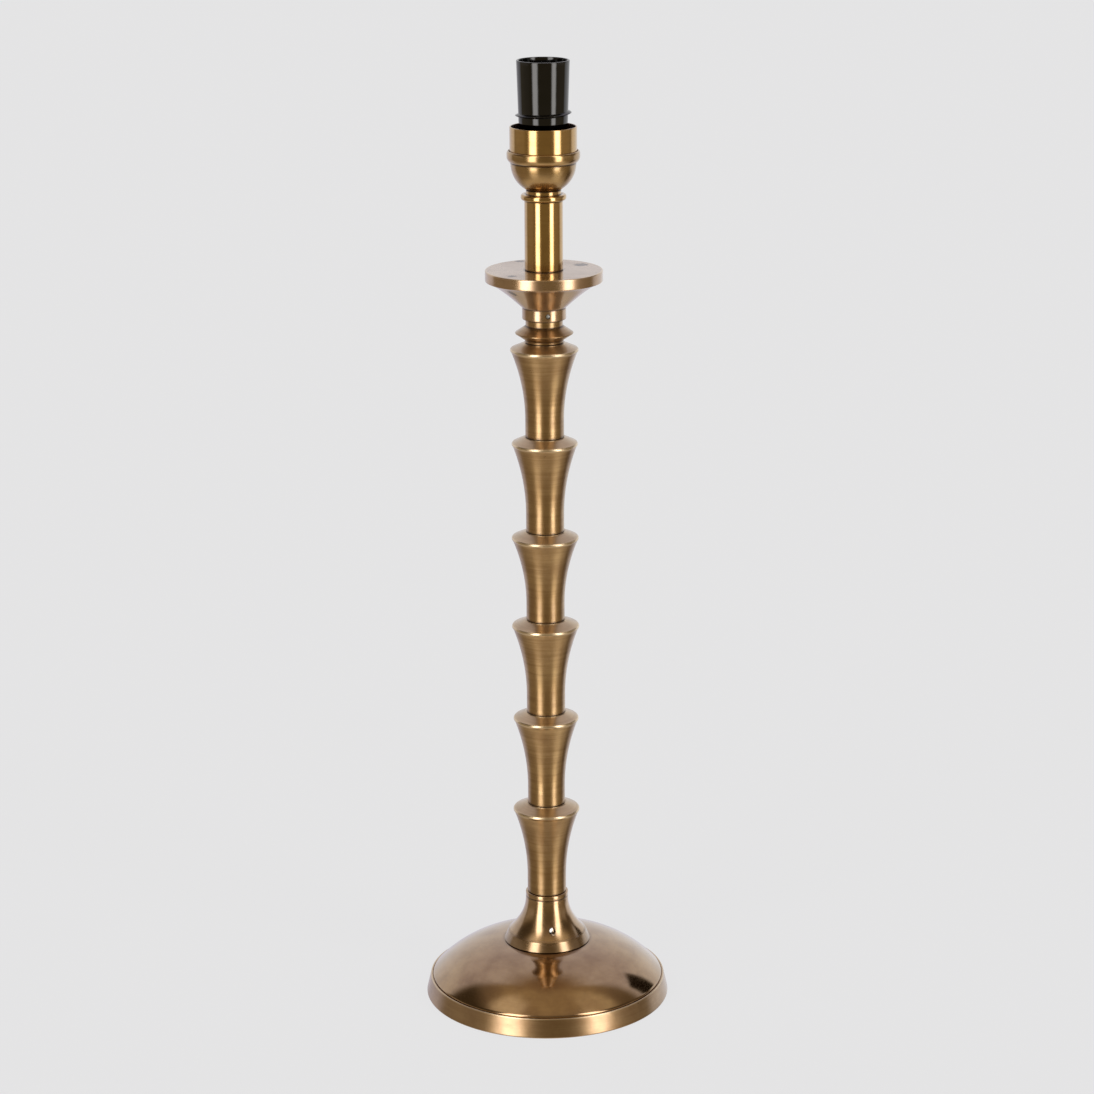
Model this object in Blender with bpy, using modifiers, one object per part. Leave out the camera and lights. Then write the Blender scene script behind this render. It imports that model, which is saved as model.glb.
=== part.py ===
"""Turned brass stick lamp base with a drip disc and a black screw lampholder.

Metres, +Z up. The origin is the centre of the face that the lamp stands on.
Every piece is a solid of its own, stacked on one hollow threaded rod that a nut
under the base and a nut inside the holder cup pull together.
"""
import math

import bmesh
import bpy
from mathutils import Matrix, Vector

# Fits shared by all pieces
CLEARANCE = 0.0003
OVERRUN = 0.002
MERGE_DISTANCE = 0.00005

# Facets round the axis
WIDE_STEPS = 32
STEPS = 20
HIDDEN_STEPS = 16
SMALL_STEPS = 12
SLEEVE_STEPS = 24
FILLET_STEPS = 1
FILLET_SIDE_SHARE = 0.45
SHARP_DEGREES = 35.0

# Hollow rod that holds the stack, and its nuts and washers
ROD_RADIUS = 0.00495
ROD_BORE_RADIUS = 0.0036
ROD_STAND_OUT = 0.0020
NUT_ACROSS_FLATS = 0.0140
NUT_HEIGHT = 0.0040
WASHER_RADIUS = 0.0095
WASHER_THICKNESS = 0.0012

# Felt pad under the base
FELT_THICKNESS = 0.0015
FELT_INSET = 0.0020
BASE_STANDOFF = 0.0006

# Spun brass base: a slanted band, a raised lip, a groove and a dome
BASE_RADIUS = 0.0796
BASE_WALL = 0.0012
BAND_HEIGHT = 0.0117
BAND_TOP_RADIUS = 0.0769
BAND_FOOT_ROUND = 0.0009
LIP_WIDTH = 0.0010
LIP_HEIGHT = 0.0007
GROOVE_WIDTH = 0.0007
GROOVE_DEPTH = 0.0011
DOME_EDGE_HEIGHT = 0.0014
DOME_RISE = 0.02436
DOME_POWER = 3.2
DOME_POINTS = 9
DOME_INNER_POINTS = 6

# Cast iron weight inside the base
WEIGHT_MARGIN = 0.0010
NUT_RECESS_RADIUS = 0.0150
NUT_RECESS_DEPTH = 0.0110
WEIGHT_CROWN_RADIUS = 0.0300
CORD_CHANNEL_WIDTH = 0.0090

# Bush in the back of the base where the lead goes in
BUSH_WALL = 0.0009
BUSH_FLANGE_STEP = 0.0006
BUSH_FLANGE_THICKNESS = 0.0010
BUSH_STAND_OUT = 0.0006
BUSH_LENGTH = 0.0060

# Trumpet ferrule between the base and the column
FERRULE_FOOT_RADIUS = 0.0281
FERRULE_BAND_TOP_RADIUS = 0.0249
FERRULE_BAND_HEIGHT = 0.0049
FERRULE_FLARE_HEIGHT = 0.0252
FERRULE_NECK_RADIUS = 0.01385
FERRULE_BEAD_HEIGHT = 0.0034
FERRULE_GROOVE = 0.0002
FERRULE_WALL = 0.0032
FERRULE_HOLLOW_SHARE = 0.12
FERRULE_POINTS = 6
GRUB_RADIUS = 0.0013
GRUB_DEPTH = 0.0005
GRUB_BEARING_DEGREES = -80.0
FERRULE_GRUB_HEIGHT_SHARE = 0.275

# Six flared column segments, each wide at its top and turned by hand to its own size
SEGMENT_HEIGHT = 0.06076
SEGMENT_HEIGHT_SHARES = (1.008, 1.018, 1.018, 0.957, 1.008, 0.990)
COLUMN_RADIUS = 0.0120
COLUMN_RADIUS_SHARES = (1.050, 1.000, 1.030, 1.020, 1.010, 1.020)
RIM_RADIUS = 0.0213
RIM_RADIUS_SHARES = (1.006, 0.984, 1.010, 1.000, 0.980, 1.005)
RIM_THICKNESS = 0.0020
RIM_ROUND = 0.0007
SHOULDER_RADIUS = 0.0130
SHOULDER_HEIGHT = 0.0037
FLARE_LENGTH_SHARE = 0.80
FLARE_POINTS = 6
SPIGOT_RADIUS = 0.0085
SPIGOT_LENGTH = 0.0020

# Ring with two cones between the column and the drip disc
RING_RADIUS = 0.0182
RING_EDGE = 0.0004
RING_UPPER_CONE = 0.0045
RING_LOWER_CONE = 0.0041
RING_LOWER_NECK = 0.0016
RING_NECK_RADIUS = 0.01165
RING_NECK_HEIGHT = 0.0040
RING_TENON_RADIUS = 0.0095
RING_TENON_LENGTH = 0.0055

# Drip disc with the curved cone under it and its collar
DISC_RADIUS = 0.0367
DISC_RIM_HEIGHT = 0.0070
DISC_RIM_ROUND = 0.0010
DISC_CONE_HEIGHT = 0.0165
DISC_COLLAR_RADIUS = 0.0138
DISC_COLLAR_HEIGHT = 0.0073
DISC_CONE_POWER = 1.24
DISC_CONE_POINTS = 5

# Tube above the disc and the ring that carries the cup
TUBE_RADIUS = 0.01195
TUBE_WALL = 0.0014
TUBE_LENGTH = 0.0432
NECK_FLANGE_RADIUS = 0.01415
NECK_FLANGE_HEIGHT = 0.0036
NECK_FLANGE_ROUND = 0.0011
NECK_RADIUS = 0.01095
NECK_HEIGHT = 0.0025
TUBE_TENON_LENGTH = 0.0030

# Brass cup with its bead and the open cylinder on it
CUP_RADIUS = 0.02035
CUP_FLOOR_RADIUS = 0.0108
CUP_DEPTH = 0.0167
CUP_WALL = 0.0010
CUP_SQUARENESS = 2.1
CUP_POINTS = 7
CUP_INNER_POINTS = 4
BEAD_RADIUS = 0.0227
BEAD_HEIGHT = 0.0071
BEAD_ROUND = 0.0016
BEAD_GROOVE_DEPTH = 0.0010
BEAD_GROOVE_WIDTH = 0.0005
BEAD_TAPER_HEIGHT = 0.0024
BEAD_FOOT_RADIUS = 0.0209
BEAD_SEAT_DEPTH = 0.0021
SHELL_RADIUS = 0.02085
SHELL_HEIGHT = 0.0169
SHELL_WALL = 0.0010

# Black lower cap of the lampholder
CAP_RADIUS = 0.0118
CAP_HEIGHT = 0.0212
CAP_FLOOR = 0.0120
CAP_COLLAR_RADIUS = 0.0103
CAP_COLLAR_HEIGHT = 0.0085
CAP_WALL = 0.0011
CAP_BUSH_RADIUS = 0.0074
CAP_BUSH_LENGTH = 0.0110

# Black sleeve of the lampholder, with one turn of ridge for a shade ring
SLEEVE_MOUTH_RADIUS = 0.0164
SLEEVE_BARREL_RADIUS = 0.0152
SLEEVE_BARREL_HEIGHT = 0.0372
SLEEVE_SHOULDER_HEIGHT = 0.0046
SLEEVE_NECK_HEIGHT = 0.0089
SLEEVE_WALL = 0.0014
SLEEVE_FLOOR = 0.0020
SLEEVE_POINTS = 5
RIDGE_RADIUS = 0.0176
RIDGE_HEIGHT = 0.0024
RIDGE_PITCH = 0.0035
RIDGE_FROM_MOUTH = 0.0328
RIDGE_RUN_OUT_DEGREES = 45.0
RIDGE_BITE = 0.0005

# Ceramic block with the contacts
BLOCK_RADIUS = 0.0132
BLOCK_THICKNESS = 0.0080
BLOCK_BOSS_RADIUS = 0.0087
BLOCK_BOSS_LENGTH = 0.0105
SCREW_SHELL_RADIUS = 0.0134
SCREW_SHELL_WALL = 0.0005
SCREW_SHELL_HEIGHT = 0.0170
SCREW_SHELL_LIP = 0.0050

# Sprung centre contact, its spring and its pocket
CONTACT_RADIUS = 0.0036
CONTACT_STEM_RADIUS = 0.0013
CONTACT_STAND_UP = 0.0022
CONTACT_HEAD = 0.0032
CONTACT_DOME = 0.0010
CONTACT_TRAVEL = 0.0015
CONTACT_BUTTON_RADIUS = 0.0021
CONTACT_BUTTON_HEIGHT = 0.0008
POCKET_DEPTH = 0.0090
SPRING_WIRE_RADIUS = 0.00035
SPRING_TURNS = 4
SPRING_POINTS_A_TURN = 9

# Side contact, centre tag and the terminal screws under the block
STRIP_WIDTH = 0.0034
STRIP_THICKNESS = 0.0006
TERMINAL_REACH = 0.0056
TERMINAL_HEAD_RADIUS = 0.0020
TERMINAL_HEAD_HEIGHT = 0.0016
TERMINAL_SHANK_RADIUS = 0.0011
TERMINAL_SHANK_LENGTH = 0.0040
RIVET_RADIUS = 0.0009
RIVET_HEAD_RADIUS = 0.0014
RIVET_HEAD_HEIGHT = 0.0007
RIVET_LENGTH = 0.0040

# Heights along the axis, each from the piece below it
DOME_FOOT_RADIUS = BAND_TOP_RADIUS - LIP_WIDTH - GROOVE_WIDTH
BAND_TOP = BASE_STANDOFF + BAND_HEIGHT
DOME_FOOT = BAND_TOP + DOME_EDGE_HEIGHT
WEIGHT_BOTTOM = FELT_THICKNESS + CLEARANCE
NUT_RECESS_TOP = WEIGHT_BOTTOM + NUT_RECESS_DEPTH
BASE_WASHER_TOP = NUT_RECESS_TOP - CLEARANCE
BASE_NUT_TOP = BASE_WASHER_TOP - WASHER_THICKNESS - CLEARANCE
ROD_BOTTOM = BASE_NUT_TOP - NUT_HEIGHT - ROD_STAND_OUT
GROOVE_FLOOR = BAND_TOP - GROOVE_DEPTH
BAND_ROOF = GROOVE_FLOOR - BASE_WALL
BUSH_HEIGHT = (BAND_ROOF + FELT_THICKNESS) / 2
BUSH_FLANGE_RADIUS = (BAND_ROOF - FELT_THICKNESS) / 2 - CLEARANCE
BUSH_RADIUS = BUSH_FLANGE_RADIUS - BUSH_FLANGE_STEP
BUSH_BORE_RADIUS = BUSH_RADIUS - BUSH_WALL


def dome_height(radius):
    """Top of the base dome at a radius: it falls with a power of the radius."""
    return DOME_FOOT + DOME_RISE * (1 - (radius / DOME_FOOT_RADIUS) ** DOME_POWER)


FERRULE_BOTTOM = dome_height(FERRULE_FOOT_RADIUS) + CLEARANCE
FERRULE_BAND_TOP = FERRULE_BOTTOM + FERRULE_BAND_HEIGHT
FERRULE_FLARE_TOP = FERRULE_BAND_TOP + FERRULE_FLARE_HEIGHT
FERRULE_TOP = FERRULE_FLARE_TOP + FERRULE_BEAD_HEIGHT
COLUMN_BOTTOM = FERRULE_TOP + CLEARANCE
COLUMN_TOP = COLUMN_BOTTOM + sum(SEGMENT_HEIGHT * share + CLEARANCE for share in SEGMENT_HEIGHT_SHARES)
RING_BOTTOM = COLUMN_TOP
RING_LOWER = RING_BOTTOM + RING_LOWER_NECK
RING_EDGE_BOTTOM = RING_LOWER + RING_LOWER_CONE
RING_EDGE_TOP = RING_EDGE_BOTTOM + RING_EDGE
RING_UPPER = RING_EDGE_TOP + RING_UPPER_CONE
RING_TOP = RING_UPPER + RING_NECK_HEIGHT
COLLAR_BOTTOM = RING_TOP + CLEARANCE
COLLAR_TOP = COLLAR_BOTTOM + DISC_COLLAR_HEIGHT
DISC_RIM_BOTTOM = COLLAR_TOP + DISC_CONE_HEIGHT
DISC_TOP = DISC_RIM_BOTTOM + DISC_RIM_HEIGHT
TUBE_BOTTOM = DISC_TOP + CLEARANCE
TUBE_TOP = TUBE_BOTTOM + TUBE_LENGTH
NECK_BOTTOM = TUBE_TOP + CLEARANCE
NECK_FLANGE_TOP = NECK_BOTTOM + NECK_FLANGE_HEIGHT
NECK_TOP = NECK_FLANGE_TOP + NECK_HEIGHT
CUP_BOTTOM = NECK_TOP + CLEARANCE
CUP_TOP = CUP_BOTTOM + CUP_DEPTH
BEAD_BOTTOM = CUP_TOP + CLEARANCE
BEAD_TOP = BEAD_BOTTOM + BEAD_HEIGHT
SHELL_BOTTOM = BEAD_TOP - BEAD_SEAT_DEPTH
SHELL_TOP = SHELL_BOTTOM + SHELL_HEIGHT
CUP_FLOOR_TOP = CUP_BOTTOM + CUP_WALL
CUP_WASHER_BOTTOM = CUP_FLOOR_TOP + CLEARANCE
CUP_NUT_BOTTOM = CUP_WASHER_BOTTOM + WASHER_THICKNESS + CLEARANCE
CAP_BOTTOM = CUP_NUT_BOTTOM + NUT_HEIGHT + CLEARANCE
CAP_TOP = CAP_BOTTOM + CAP_HEIGHT
CAP_BUSH_BOTTOM = CAP_BOTTOM + CLEARANCE
ROD_TOP = CAP_BUSH_BOTTOM + CAP_BUSH_LENGTH
SLEEVE_BOTTOM = CAP_TOP + CLEARANCE
SLEEVE_NECK_TOP = SLEEVE_BOTTOM + SLEEVE_NECK_HEIGHT
SLEEVE_BARREL_BOTTOM = SLEEVE_NECK_TOP + SLEEVE_SHOULDER_HEIGHT
SLEEVE_TOP = SLEEVE_BARREL_BOTTOM + SLEEVE_BARREL_HEIGHT
BLOCK_BOTTOM = SLEEVE_NECK_TOP + SLEEVE_FLOOR + SLEEVE_SHOULDER_HEIGHT + CLEARANCE
BLOCK_TOP = BLOCK_BOTTOM + BLOCK_THICKNESS
BOSS_BOTTOM = BLOCK_BOTTOM - BLOCK_BOSS_LENGTH
SCREW_SHELL_BOTTOM = BLOCK_TOP + CLEARANCE


def clear_scene():
    """Take away every object that the scene starts with."""
    for item in list(bpy.data.objects):
        bpy.data.objects.remove(item, do_unlink=True)


def make_collection(name, hidden=False):
    """A collection under the scene's own one."""
    made = bpy.data.collections.new(name)
    bpy.context.scene.collection.children.link(made)
    made.hide_render = hidden
    return made


def make_material(name, hex_colour, roughness, metallic):
    """One Principled finish from an sRGB hex colour."""
    def linear(channel):
        return channel / 12.92 if channel <= 0.04045 else ((channel + 0.055) / 1.055) ** 2.4

    rgb = [linear(int(hex_colour[start:start + 2], 16) / 255) for start in (0, 2, 4)]
    made = bpy.data.materials.new(name)
    made.use_nodes = True
    shader = made.node_tree.nodes["Principled BSDF"]
    shader.inputs["Base Color"].default_value = (*rgb, 1.0)
    shader.inputs["Roughness"].default_value = roughness
    shader.inputs["Metallic"].default_value = metallic
    return made


def filleted(corners, steps=FILLET_STEPS):
    """Points of a closed outline whose corners (radius, height, fillet) are rounded.

    A fillet is an arc that is tangent to both sides. It takes at most a set share of
    the shorter side, so it stays within its wall.
    """
    points = []
    count = len(corners)
    for index, corner in enumerate(corners):
        here = Vector(corner[:2])
        wanted = corner[2] if len(corner) > 2 else 0
        before = Vector(corners[index - 1][:2]) - here
        after = Vector(corners[(index + 1) % count][:2]) - here
        if wanted == 0:
            points.append(tuple(here))
            continue
        half_angle = before.angle(after) / 2
        longest = FILLET_SIDE_SHARE * min(before.length, after.length)
        reach = min(wanted / math.tan(half_angle), longest)
        radius = reach * math.tan(half_angle)
        inward = (before.normalized() + after.normalized()).normalized()
        middle = here + inward * radius / math.sin(half_angle)
        start = here + before.normalized() * reach - middle
        end = here + after.normalized() * reach - middle
        sweep = start.angle_signed(end)
        for step in range(steps + 1):
            turned_by = Matrix.Rotation(-sweep * step / steps, 2)
            points.append(tuple(middle + turned_by @ start))
    return points


def link_object(name, data, collection, material=None):
    """A new object in a collection, with its finish."""
    made = bpy.data.objects.new(name, data)
    collection.objects.link(made)
    if material is not None:
        data.materials.append(material)
    return made


def turned(name, outline, material, collection, steps=STEPS):
    """A turned solid: an outline of (radius, height), spun by a Screw modifier.

    The outline starts at the top, runs down the outer side and comes back up the bore,
    or it starts and ends on the axis where the piece has no bore.
    """
    mesh = bpy.data.meshes.new(name)
    edges = [(index, index + 1) for index in range(len(outline) - 1)]
    if outline[0][0] > 0:
        edges.append((len(outline) - 1, 0))
    mesh.from_pydata([(radius, 0, height) for radius, height in outline], edges, [])
    made = link_object(name, mesh, collection, material)
    spin = made.modifiers.new("turn", "SCREW")
    spin.steps = steps
    spin.render_steps = steps
    spin.use_merge_vertices = True
    spin.merge_threshold = MERGE_DISTANCE
    spin.use_smooth_shade = True
    return made


def settle(item):
    """Make an object's modifiers and curve real, weld it and shade it smooth."""
    graph = bpy.context.evaluated_depsgraph_get()
    mesh = bpy.data.meshes.new_from_object(item.evaluated_get(graph))
    work = bmesh.new()
    work.from_mesh(mesh)
    bmesh.ops.remove_doubles(work, verts=work.verts, dist=MERGE_DISTANCE)
    bmesh.ops.dissolve_degenerate(work, edges=work.edges, dist=MERGE_DISTANCE / 10)
    work.to_mesh(mesh)
    work.free()
    mesh.shade_smooth()
    mesh.set_sharp_from_angle(angle=math.radians(SHARP_DEGREES))
    name = item.name
    place = item.matrix_world.copy()
    homes = list(item.users_collection)
    bpy.data.objects.remove(item, do_unlink=True)
    mesh.name = name
    made = bpy.data.objects.new(name, mesh)
    made.matrix_world = place
    for home in homes:
        home.objects.link(made)
    return made


def cylinder(name, radius, length, collection, material=None, steps=STEPS, place=None):
    """A cylinder from a primitive, centred on its place and along its local Z."""
    mesh = bpy.data.meshes.new(name)
    work = bmesh.new()
    bmesh.ops.create_cone(
        work, cap_ends=True, segments=steps, radius1=radius, radius2=radius, depth=length)
    work.to_mesh(mesh)
    work.free()
    made = link_object(name, mesh, collection, material)
    made.matrix_world = place or Matrix.Identity(4)
    return made


def box(name, size, centre, collection, material=None):
    """A box from a cube primitive, with its size in its mesh and its place in its location."""
    mesh = bpy.data.meshes.new(name)
    work = bmesh.new()
    bmesh.ops.create_cube(work, size=1)
    bmesh.ops.scale(work, vec=size, verts=work.verts)
    work.to_mesh(mesh)
    work.free()
    made = link_object(name, mesh, collection, material)
    made.location = centre
    return made


def as_cutter(item):
    """Mark an object as a tool that cuts or joins and isn't a piece."""
    item.hide_render = True
    item.display_type = "WIRE"
    return item


def combine(target, tool, operation):
    """Add an exact Boolean to a piece."""
    step = target.modifiers.new(operation.lower(), "BOOLEAN")
    step.operation = operation
    step.solver = "EXACT"
    step.object = tool


def tube_outline(outer, inner, bottom, top, round_top=0, round_bottom=0):
    """Outline of a plain tube with rounded outer corners."""
    return filleted([
        (outer, top, round_top),
        (outer, bottom, round_bottom),
        (inner, bottom),
        (inner, top),
    ])


def bore_over(radius):
    """Bore that passes over a radius with the shared clearance."""
    return radius + CLEARANCE


ROD_HOLE = bore_over(ROD_RADIUS)
SPIGOT_SOCKET = bore_over(SPIGOT_RADIUS)


def base_inner_radius(height):
    """Inside of the slanted band at a height above the table."""
    share = (height - BASE_STANDOFF) / BAND_HEIGHT
    return BASE_RADIUS + (BAND_TOP_RADIUS - BASE_RADIUS) * share - BASE_WALL


def make_base_dome(finish, collection, cutters):
    """Spun base shell: dome, groove, raised lip and slanted band, with a hole for the bush."""
    dome = []
    inside = []
    for index in range(DOME_POINTS + 1):
        radius = ROD_HOLE + (DOME_FOOT_RADIUS - ROD_HOLE) * index / DOME_POINTS
        dome.append((radius, dome_height(radius)))
    for index in range(DOME_INNER_POINTS + 1):
        radius = ROD_HOLE + (DOME_FOOT_RADIUS - BASE_WALL - ROD_HOLE) * index / DOME_INNER_POINTS
        inside.append((radius, dome_height(radius) - BASE_WALL))
    lip_inner = BAND_TOP_RADIUS - LIP_WIDTH
    outline = filleted(dome + [
        (DOME_FOOT_RADIUS, GROOVE_FLOOR),
        (lip_inner, GROOVE_FLOOR),
        (lip_inner, BAND_TOP + LIP_HEIGHT, LIP_WIDTH / 3),
        (BAND_TOP_RADIUS, BAND_TOP, LIP_WIDTH / 2),
        (BASE_RADIUS, BASE_STANDOFF, BAND_FOOT_ROUND),
        (base_inner_radius(BASE_STANDOFF), BASE_STANDOFF),
        (base_inner_radius(BAND_ROOF), BAND_ROOF),
        (DOME_FOOT_RADIUS - BASE_WALL, BAND_ROOF),
    ] + list(reversed(inside)))
    made = turned("base_dome", outline, finish, collection, WIDE_STEPS)
    hole = cylinder(
        "bush_hole", bore_over(BUSH_RADIUS), BASE_RADIUS, cutters, steps=SMALL_STEPS,
        place=Matrix.Translation((0, BASE_RADIUS, BUSH_HEIGHT)) @ Matrix.Rotation(math.pi / 2, 4, "X"))
    combine(made, as_cutter(hole), "DIFFERENCE")
    return made


def make_base_weight(finish, collection, cutters):
    """Cast weight that fills the base, with a recess for the nut and a channel for the lead.

    It goes in from below, so its shoulder is no wider than its foot, and clears the dome's edge.
    """
    shoulder_height = BAND_ROOF - WEIGHT_MARGIN
    foot_wall = base_inner_radius(WEIGHT_BOTTOM)
    shoulder_wall = min(foot_wall, base_inner_radius(shoulder_height), DOME_FOOT_RADIUS - BASE_WALL)
    foot = foot_wall - WEIGHT_MARGIN
    shoulder = shoulder_wall - WEIGHT_MARGIN
    crown = dome_height(WEIGHT_CROWN_RADIUS) - BASE_WALL - WEIGHT_MARGIN
    middle_radius = (shoulder + WEIGHT_CROWN_RADIUS) / 2
    middle = dome_height(middle_radius + WEIGHT_MARGIN) - BASE_WALL - WEIGHT_MARGIN
    outline = filleted([
        (WEIGHT_CROWN_RADIUS, crown),
        (middle_radius, middle),
        (shoulder, shoulder_height),
        (foot, WEIGHT_BOTTOM, WEIGHT_MARGIN),
        (NUT_RECESS_RADIUS, WEIGHT_BOTTOM),
        (NUT_RECESS_RADIUS, NUT_RECESS_TOP),
        (ROD_HOLE, NUT_RECESS_TOP),
        (ROD_HOLE, crown),
    ])
    made = turned("base_weight", outline, finish, collection, HIDDEN_STEPS)
    height = NUT_RECESS_TOP - WEIGHT_BOTTOM - CLEARANCE
    length = foot + OVERRUN - NUT_RECESS_RADIUS / 2
    channel = box(
        "lead_channel", (CORD_CHANNEL_WIDTH, length, height + OVERRUN),
        (0, NUT_RECESS_RADIUS / 2 + length / 2, WEIGHT_BOTTOM + height / 2 - OVERRUN / 2), cutters)
    combine(made, as_cutter(channel), "DIFFERENCE")
    return made


def make_base_felt(finish, collection):
    """Felt pad, a whole disc that covers the nut and the channel."""
    radius = base_inner_radius(BASE_STANDOFF) - FELT_INSET
    return cylinder(
        "base_felt", radius, FELT_THICKNESS, collection, finish, WIDE_STEPS,
        Matrix.Translation((0, 0, FELT_THICKNESS / 2)))


def make_cord_bush(finish, collection):
    """Moulded bush through the band at the back, with its flange inside."""
    face = base_inner_radius(BUSH_HEIGHT) + BASE_WALL + BUSH_STAND_OUT
    facet_middle = base_inner_radius(BAND_ROOF) * math.cos(math.pi / WIDE_STEPS)
    flange_face = math.sqrt(facet_middle ** 2 - BUSH_FLANGE_RADIUS ** 2) - CLEARANCE
    flange_back = flange_face - BUSH_FLANGE_THICKNESS
    outline = filleted([
        (BUSH_RADIUS, face, BUSH_STAND_OUT),
        (BUSH_RADIUS, flange_face),
        (BUSH_FLANGE_RADIUS, flange_face),
        (BUSH_FLANGE_RADIUS, flange_back),
        (BUSH_RADIUS, flange_back),
        (BUSH_RADIUS, face - BUSH_LENGTH),
        (BUSH_BORE_RADIUS, face - BUSH_LENGTH),
        (BUSH_BORE_RADIUS, face),
    ])
    made = turned("cord_bush", outline, finish, collection, SMALL_STEPS)
    made.location = (0, 0, BUSH_HEIGHT)
    made.rotation_euler = (-math.pi / 2, 0, 0)
    return made


def make_washer(name, bottom, finish, collection):
    """Flat washer on the rod."""
    outline = tube_outline(WASHER_RADIUS, ROD_HOLE, bottom, bottom + WASHER_THICKNESS)
    return turned(name, outline, finish, collection, HIDDEN_STEPS)


def make_nut(name, bottom, finish, collection, cutters):
    """Hexagon nut with a plain bore that clears the rod."""
    corner_radius = NUT_ACROSS_FLATS / 2 / math.cos(math.pi / 6)
    made = cylinder(
        name, corner_radius, NUT_HEIGHT, collection, finish, 6,
        Matrix.Translation((0, 0, bottom + NUT_HEIGHT / 2)))
    bore = cylinder(
        name + "_bore", ROD_HOLE, NUT_HEIGHT + 2 * OVERRUN, cutters, steps=HIDDEN_STEPS,
        place=Matrix.Translation((0, 0, bottom + NUT_HEIGHT / 2)))
    combine(made, as_cutter(bore), "DIFFERENCE")
    return made


def make_tie_rod(finish, collection):
    """Hollow rod from under the base to the lampholder."""
    outline = tube_outline(ROD_RADIUS, ROD_BORE_RADIUS, ROD_BOTTOM, ROD_TOP)
    return turned("tie_rod", outline, finish, collection, HIDDEN_STEPS)


def flare(bottom_radius, top_radius, low, high, points):
    """Points down a flare that is wide at its top: the radius grows with the square of height."""
    made = []
    for index in range(points + 1):
        share = 1 - index / points
        made.append((bottom_radius + (top_radius - bottom_radius) * share ** 2, low + (high - low) * share))
    return made


def grub_place(radius, height):
    """Frame of a grub screw at a bearing just right of the front, its Z pointing outwards."""
    turn = Matrix.Rotation(math.radians(GRUB_BEARING_DEGREES), 4, "Z")
    return turn @ Matrix.Translation((radius, 0, height)) @ Matrix.Rotation(math.pi / 2, 4, "Y")


def make_grub(name, surface_radius, seat_radius, height, finish, collection):
    """Grub screw sunk a little below its surface, with its point on the piece inside."""
    outer = surface_radius - GRUB_DEPTH
    inner = seat_radius + CLEARANCE
    return cylinder(
        name, GRUB_RADIUS, outer - inner, collection, finish, SMALL_STEPS,
        grub_place((outer + inner) / 2, height))


def drill_for_grub(piece, name, surface_radius, seat_radius, height, cutters):
    """Cross hole for the grub screw, from the surface through into the bore."""
    outer = surface_radius + OVERRUN
    hole = cylinder(
        name, bore_over(GRUB_RADIUS), outer - seat_radius, cutters, steps=SMALL_STEPS,
        place=grub_place((outer + seat_radius) / 2, height))
    combine(piece, as_cutter(hole), "DIFFERENCE")


def ferrule_radius(height):
    """Outside of the trumpet: its radius grows with the square of the depth below the bead."""
    share = (FERRULE_FLARE_TOP - height) / FERRULE_FLARE_HEIGHT
    return FERRULE_NECK_RADIUS + (FERRULE_BAND_TOP_RADIUS - FERRULE_NECK_RADIUS) * share ** 2


FERRULE_GRUB_HEIGHT = FERRULE_BAND_TOP + FERRULE_FLARE_HEIGHT * FERRULE_GRUB_HEIGHT_SHARE


def make_foot_ferrule(finish, collection, cutters):
    """Trumpet that spreads the column onto the dome: bead, flare, flared band, hollow inside."""
    flare_points = []
    for index in range(FERRULE_POINTS + 1):
        height = FERRULE_FLARE_TOP - FERRULE_FLARE_HEIGHT * index / FERRULE_POINTS
        flare_points.append((ferrule_radius(height), height))
    hollow_foot = FERRULE_FOOT_RADIUS - FERRULE_WALL
    hollow_top = FERRULE_BAND_TOP + FERRULE_FLARE_HEIGHT * FERRULE_HOLLOW_SHARE
    outline = filleted([
        (SPIGOT_SOCKET, FERRULE_TOP),
        (FERRULE_NECK_RADIUS, FERRULE_TOP, FERRULE_BEAD_HEIGHT / 5),
        (FERRULE_NECK_RADIUS, FERRULE_FLARE_TOP + FERRULE_BEAD_HEIGHT / 5),
        (FERRULE_NECK_RADIUS - FERRULE_GROOVE, FERRULE_FLARE_TOP + FERRULE_BEAD_HEIGHT / 10),
    ] + flare_points + [
        (FERRULE_FOOT_RADIUS, FERRULE_BOTTOM),
        (hollow_foot, dome_height(hollow_foot) + CLEARANCE),
        (ferrule_radius(hollow_top) - FERRULE_WALL, hollow_top),
        (ROD_HOLE, hollow_top),
        (ROD_HOLE, FERRULE_TOP - SPIGOT_LENGTH - CLEARANCE),
        (SPIGOT_SOCKET, FERRULE_TOP - SPIGOT_LENGTH - CLEARANCE),
    ])
    made = turned("foot_ferrule", outline, finish, collection)
    drill_for_grub(
        made, "ferrule_grub_hole", ferrule_radius(FERRULE_GRUB_HEIGHT), ROD_RADIUS,
        FERRULE_GRUB_HEIGHT, cutters)
    return made


def make_segment(number, bottom, height, foot_radius, rim_radius, finish, collection):
    """One column segment: spigot, straight foot, flare, rounded rim, low shoulder and socket."""
    top = bottom + height
    rim_top = top - SHOULDER_HEIGHT
    rim_bottom = rim_top - RIM_THICKNESS
    flare_low = rim_bottom - (rim_bottom - bottom) * FLARE_LENGTH_SHARE
    under_rim = rim_radius - RIM_ROUND
    outline = filleted([
        (SPIGOT_SOCKET, top),
        (SHOULDER_RADIUS, top),
        (rim_radius, rim_top, RIM_ROUND),
        (rim_radius, rim_bottom, RIM_ROUND),
    ] + flare(foot_radius, under_rim, flare_low, rim_bottom, FLARE_POINTS) + [
        (foot_radius, bottom),
        (SPIGOT_RADIUS, bottom),
        (SPIGOT_RADIUS, bottom - SPIGOT_LENGTH),
        (ROD_HOLE, bottom - SPIGOT_LENGTH),
        (ROD_HOLE, top - SPIGOT_LENGTH - CLEARANCE),
        (SPIGOT_SOCKET, top - SPIGOT_LENGTH - CLEARANCE),
    ])
    return turned("column_segment_%d" % number, outline, finish, collection)


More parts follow.
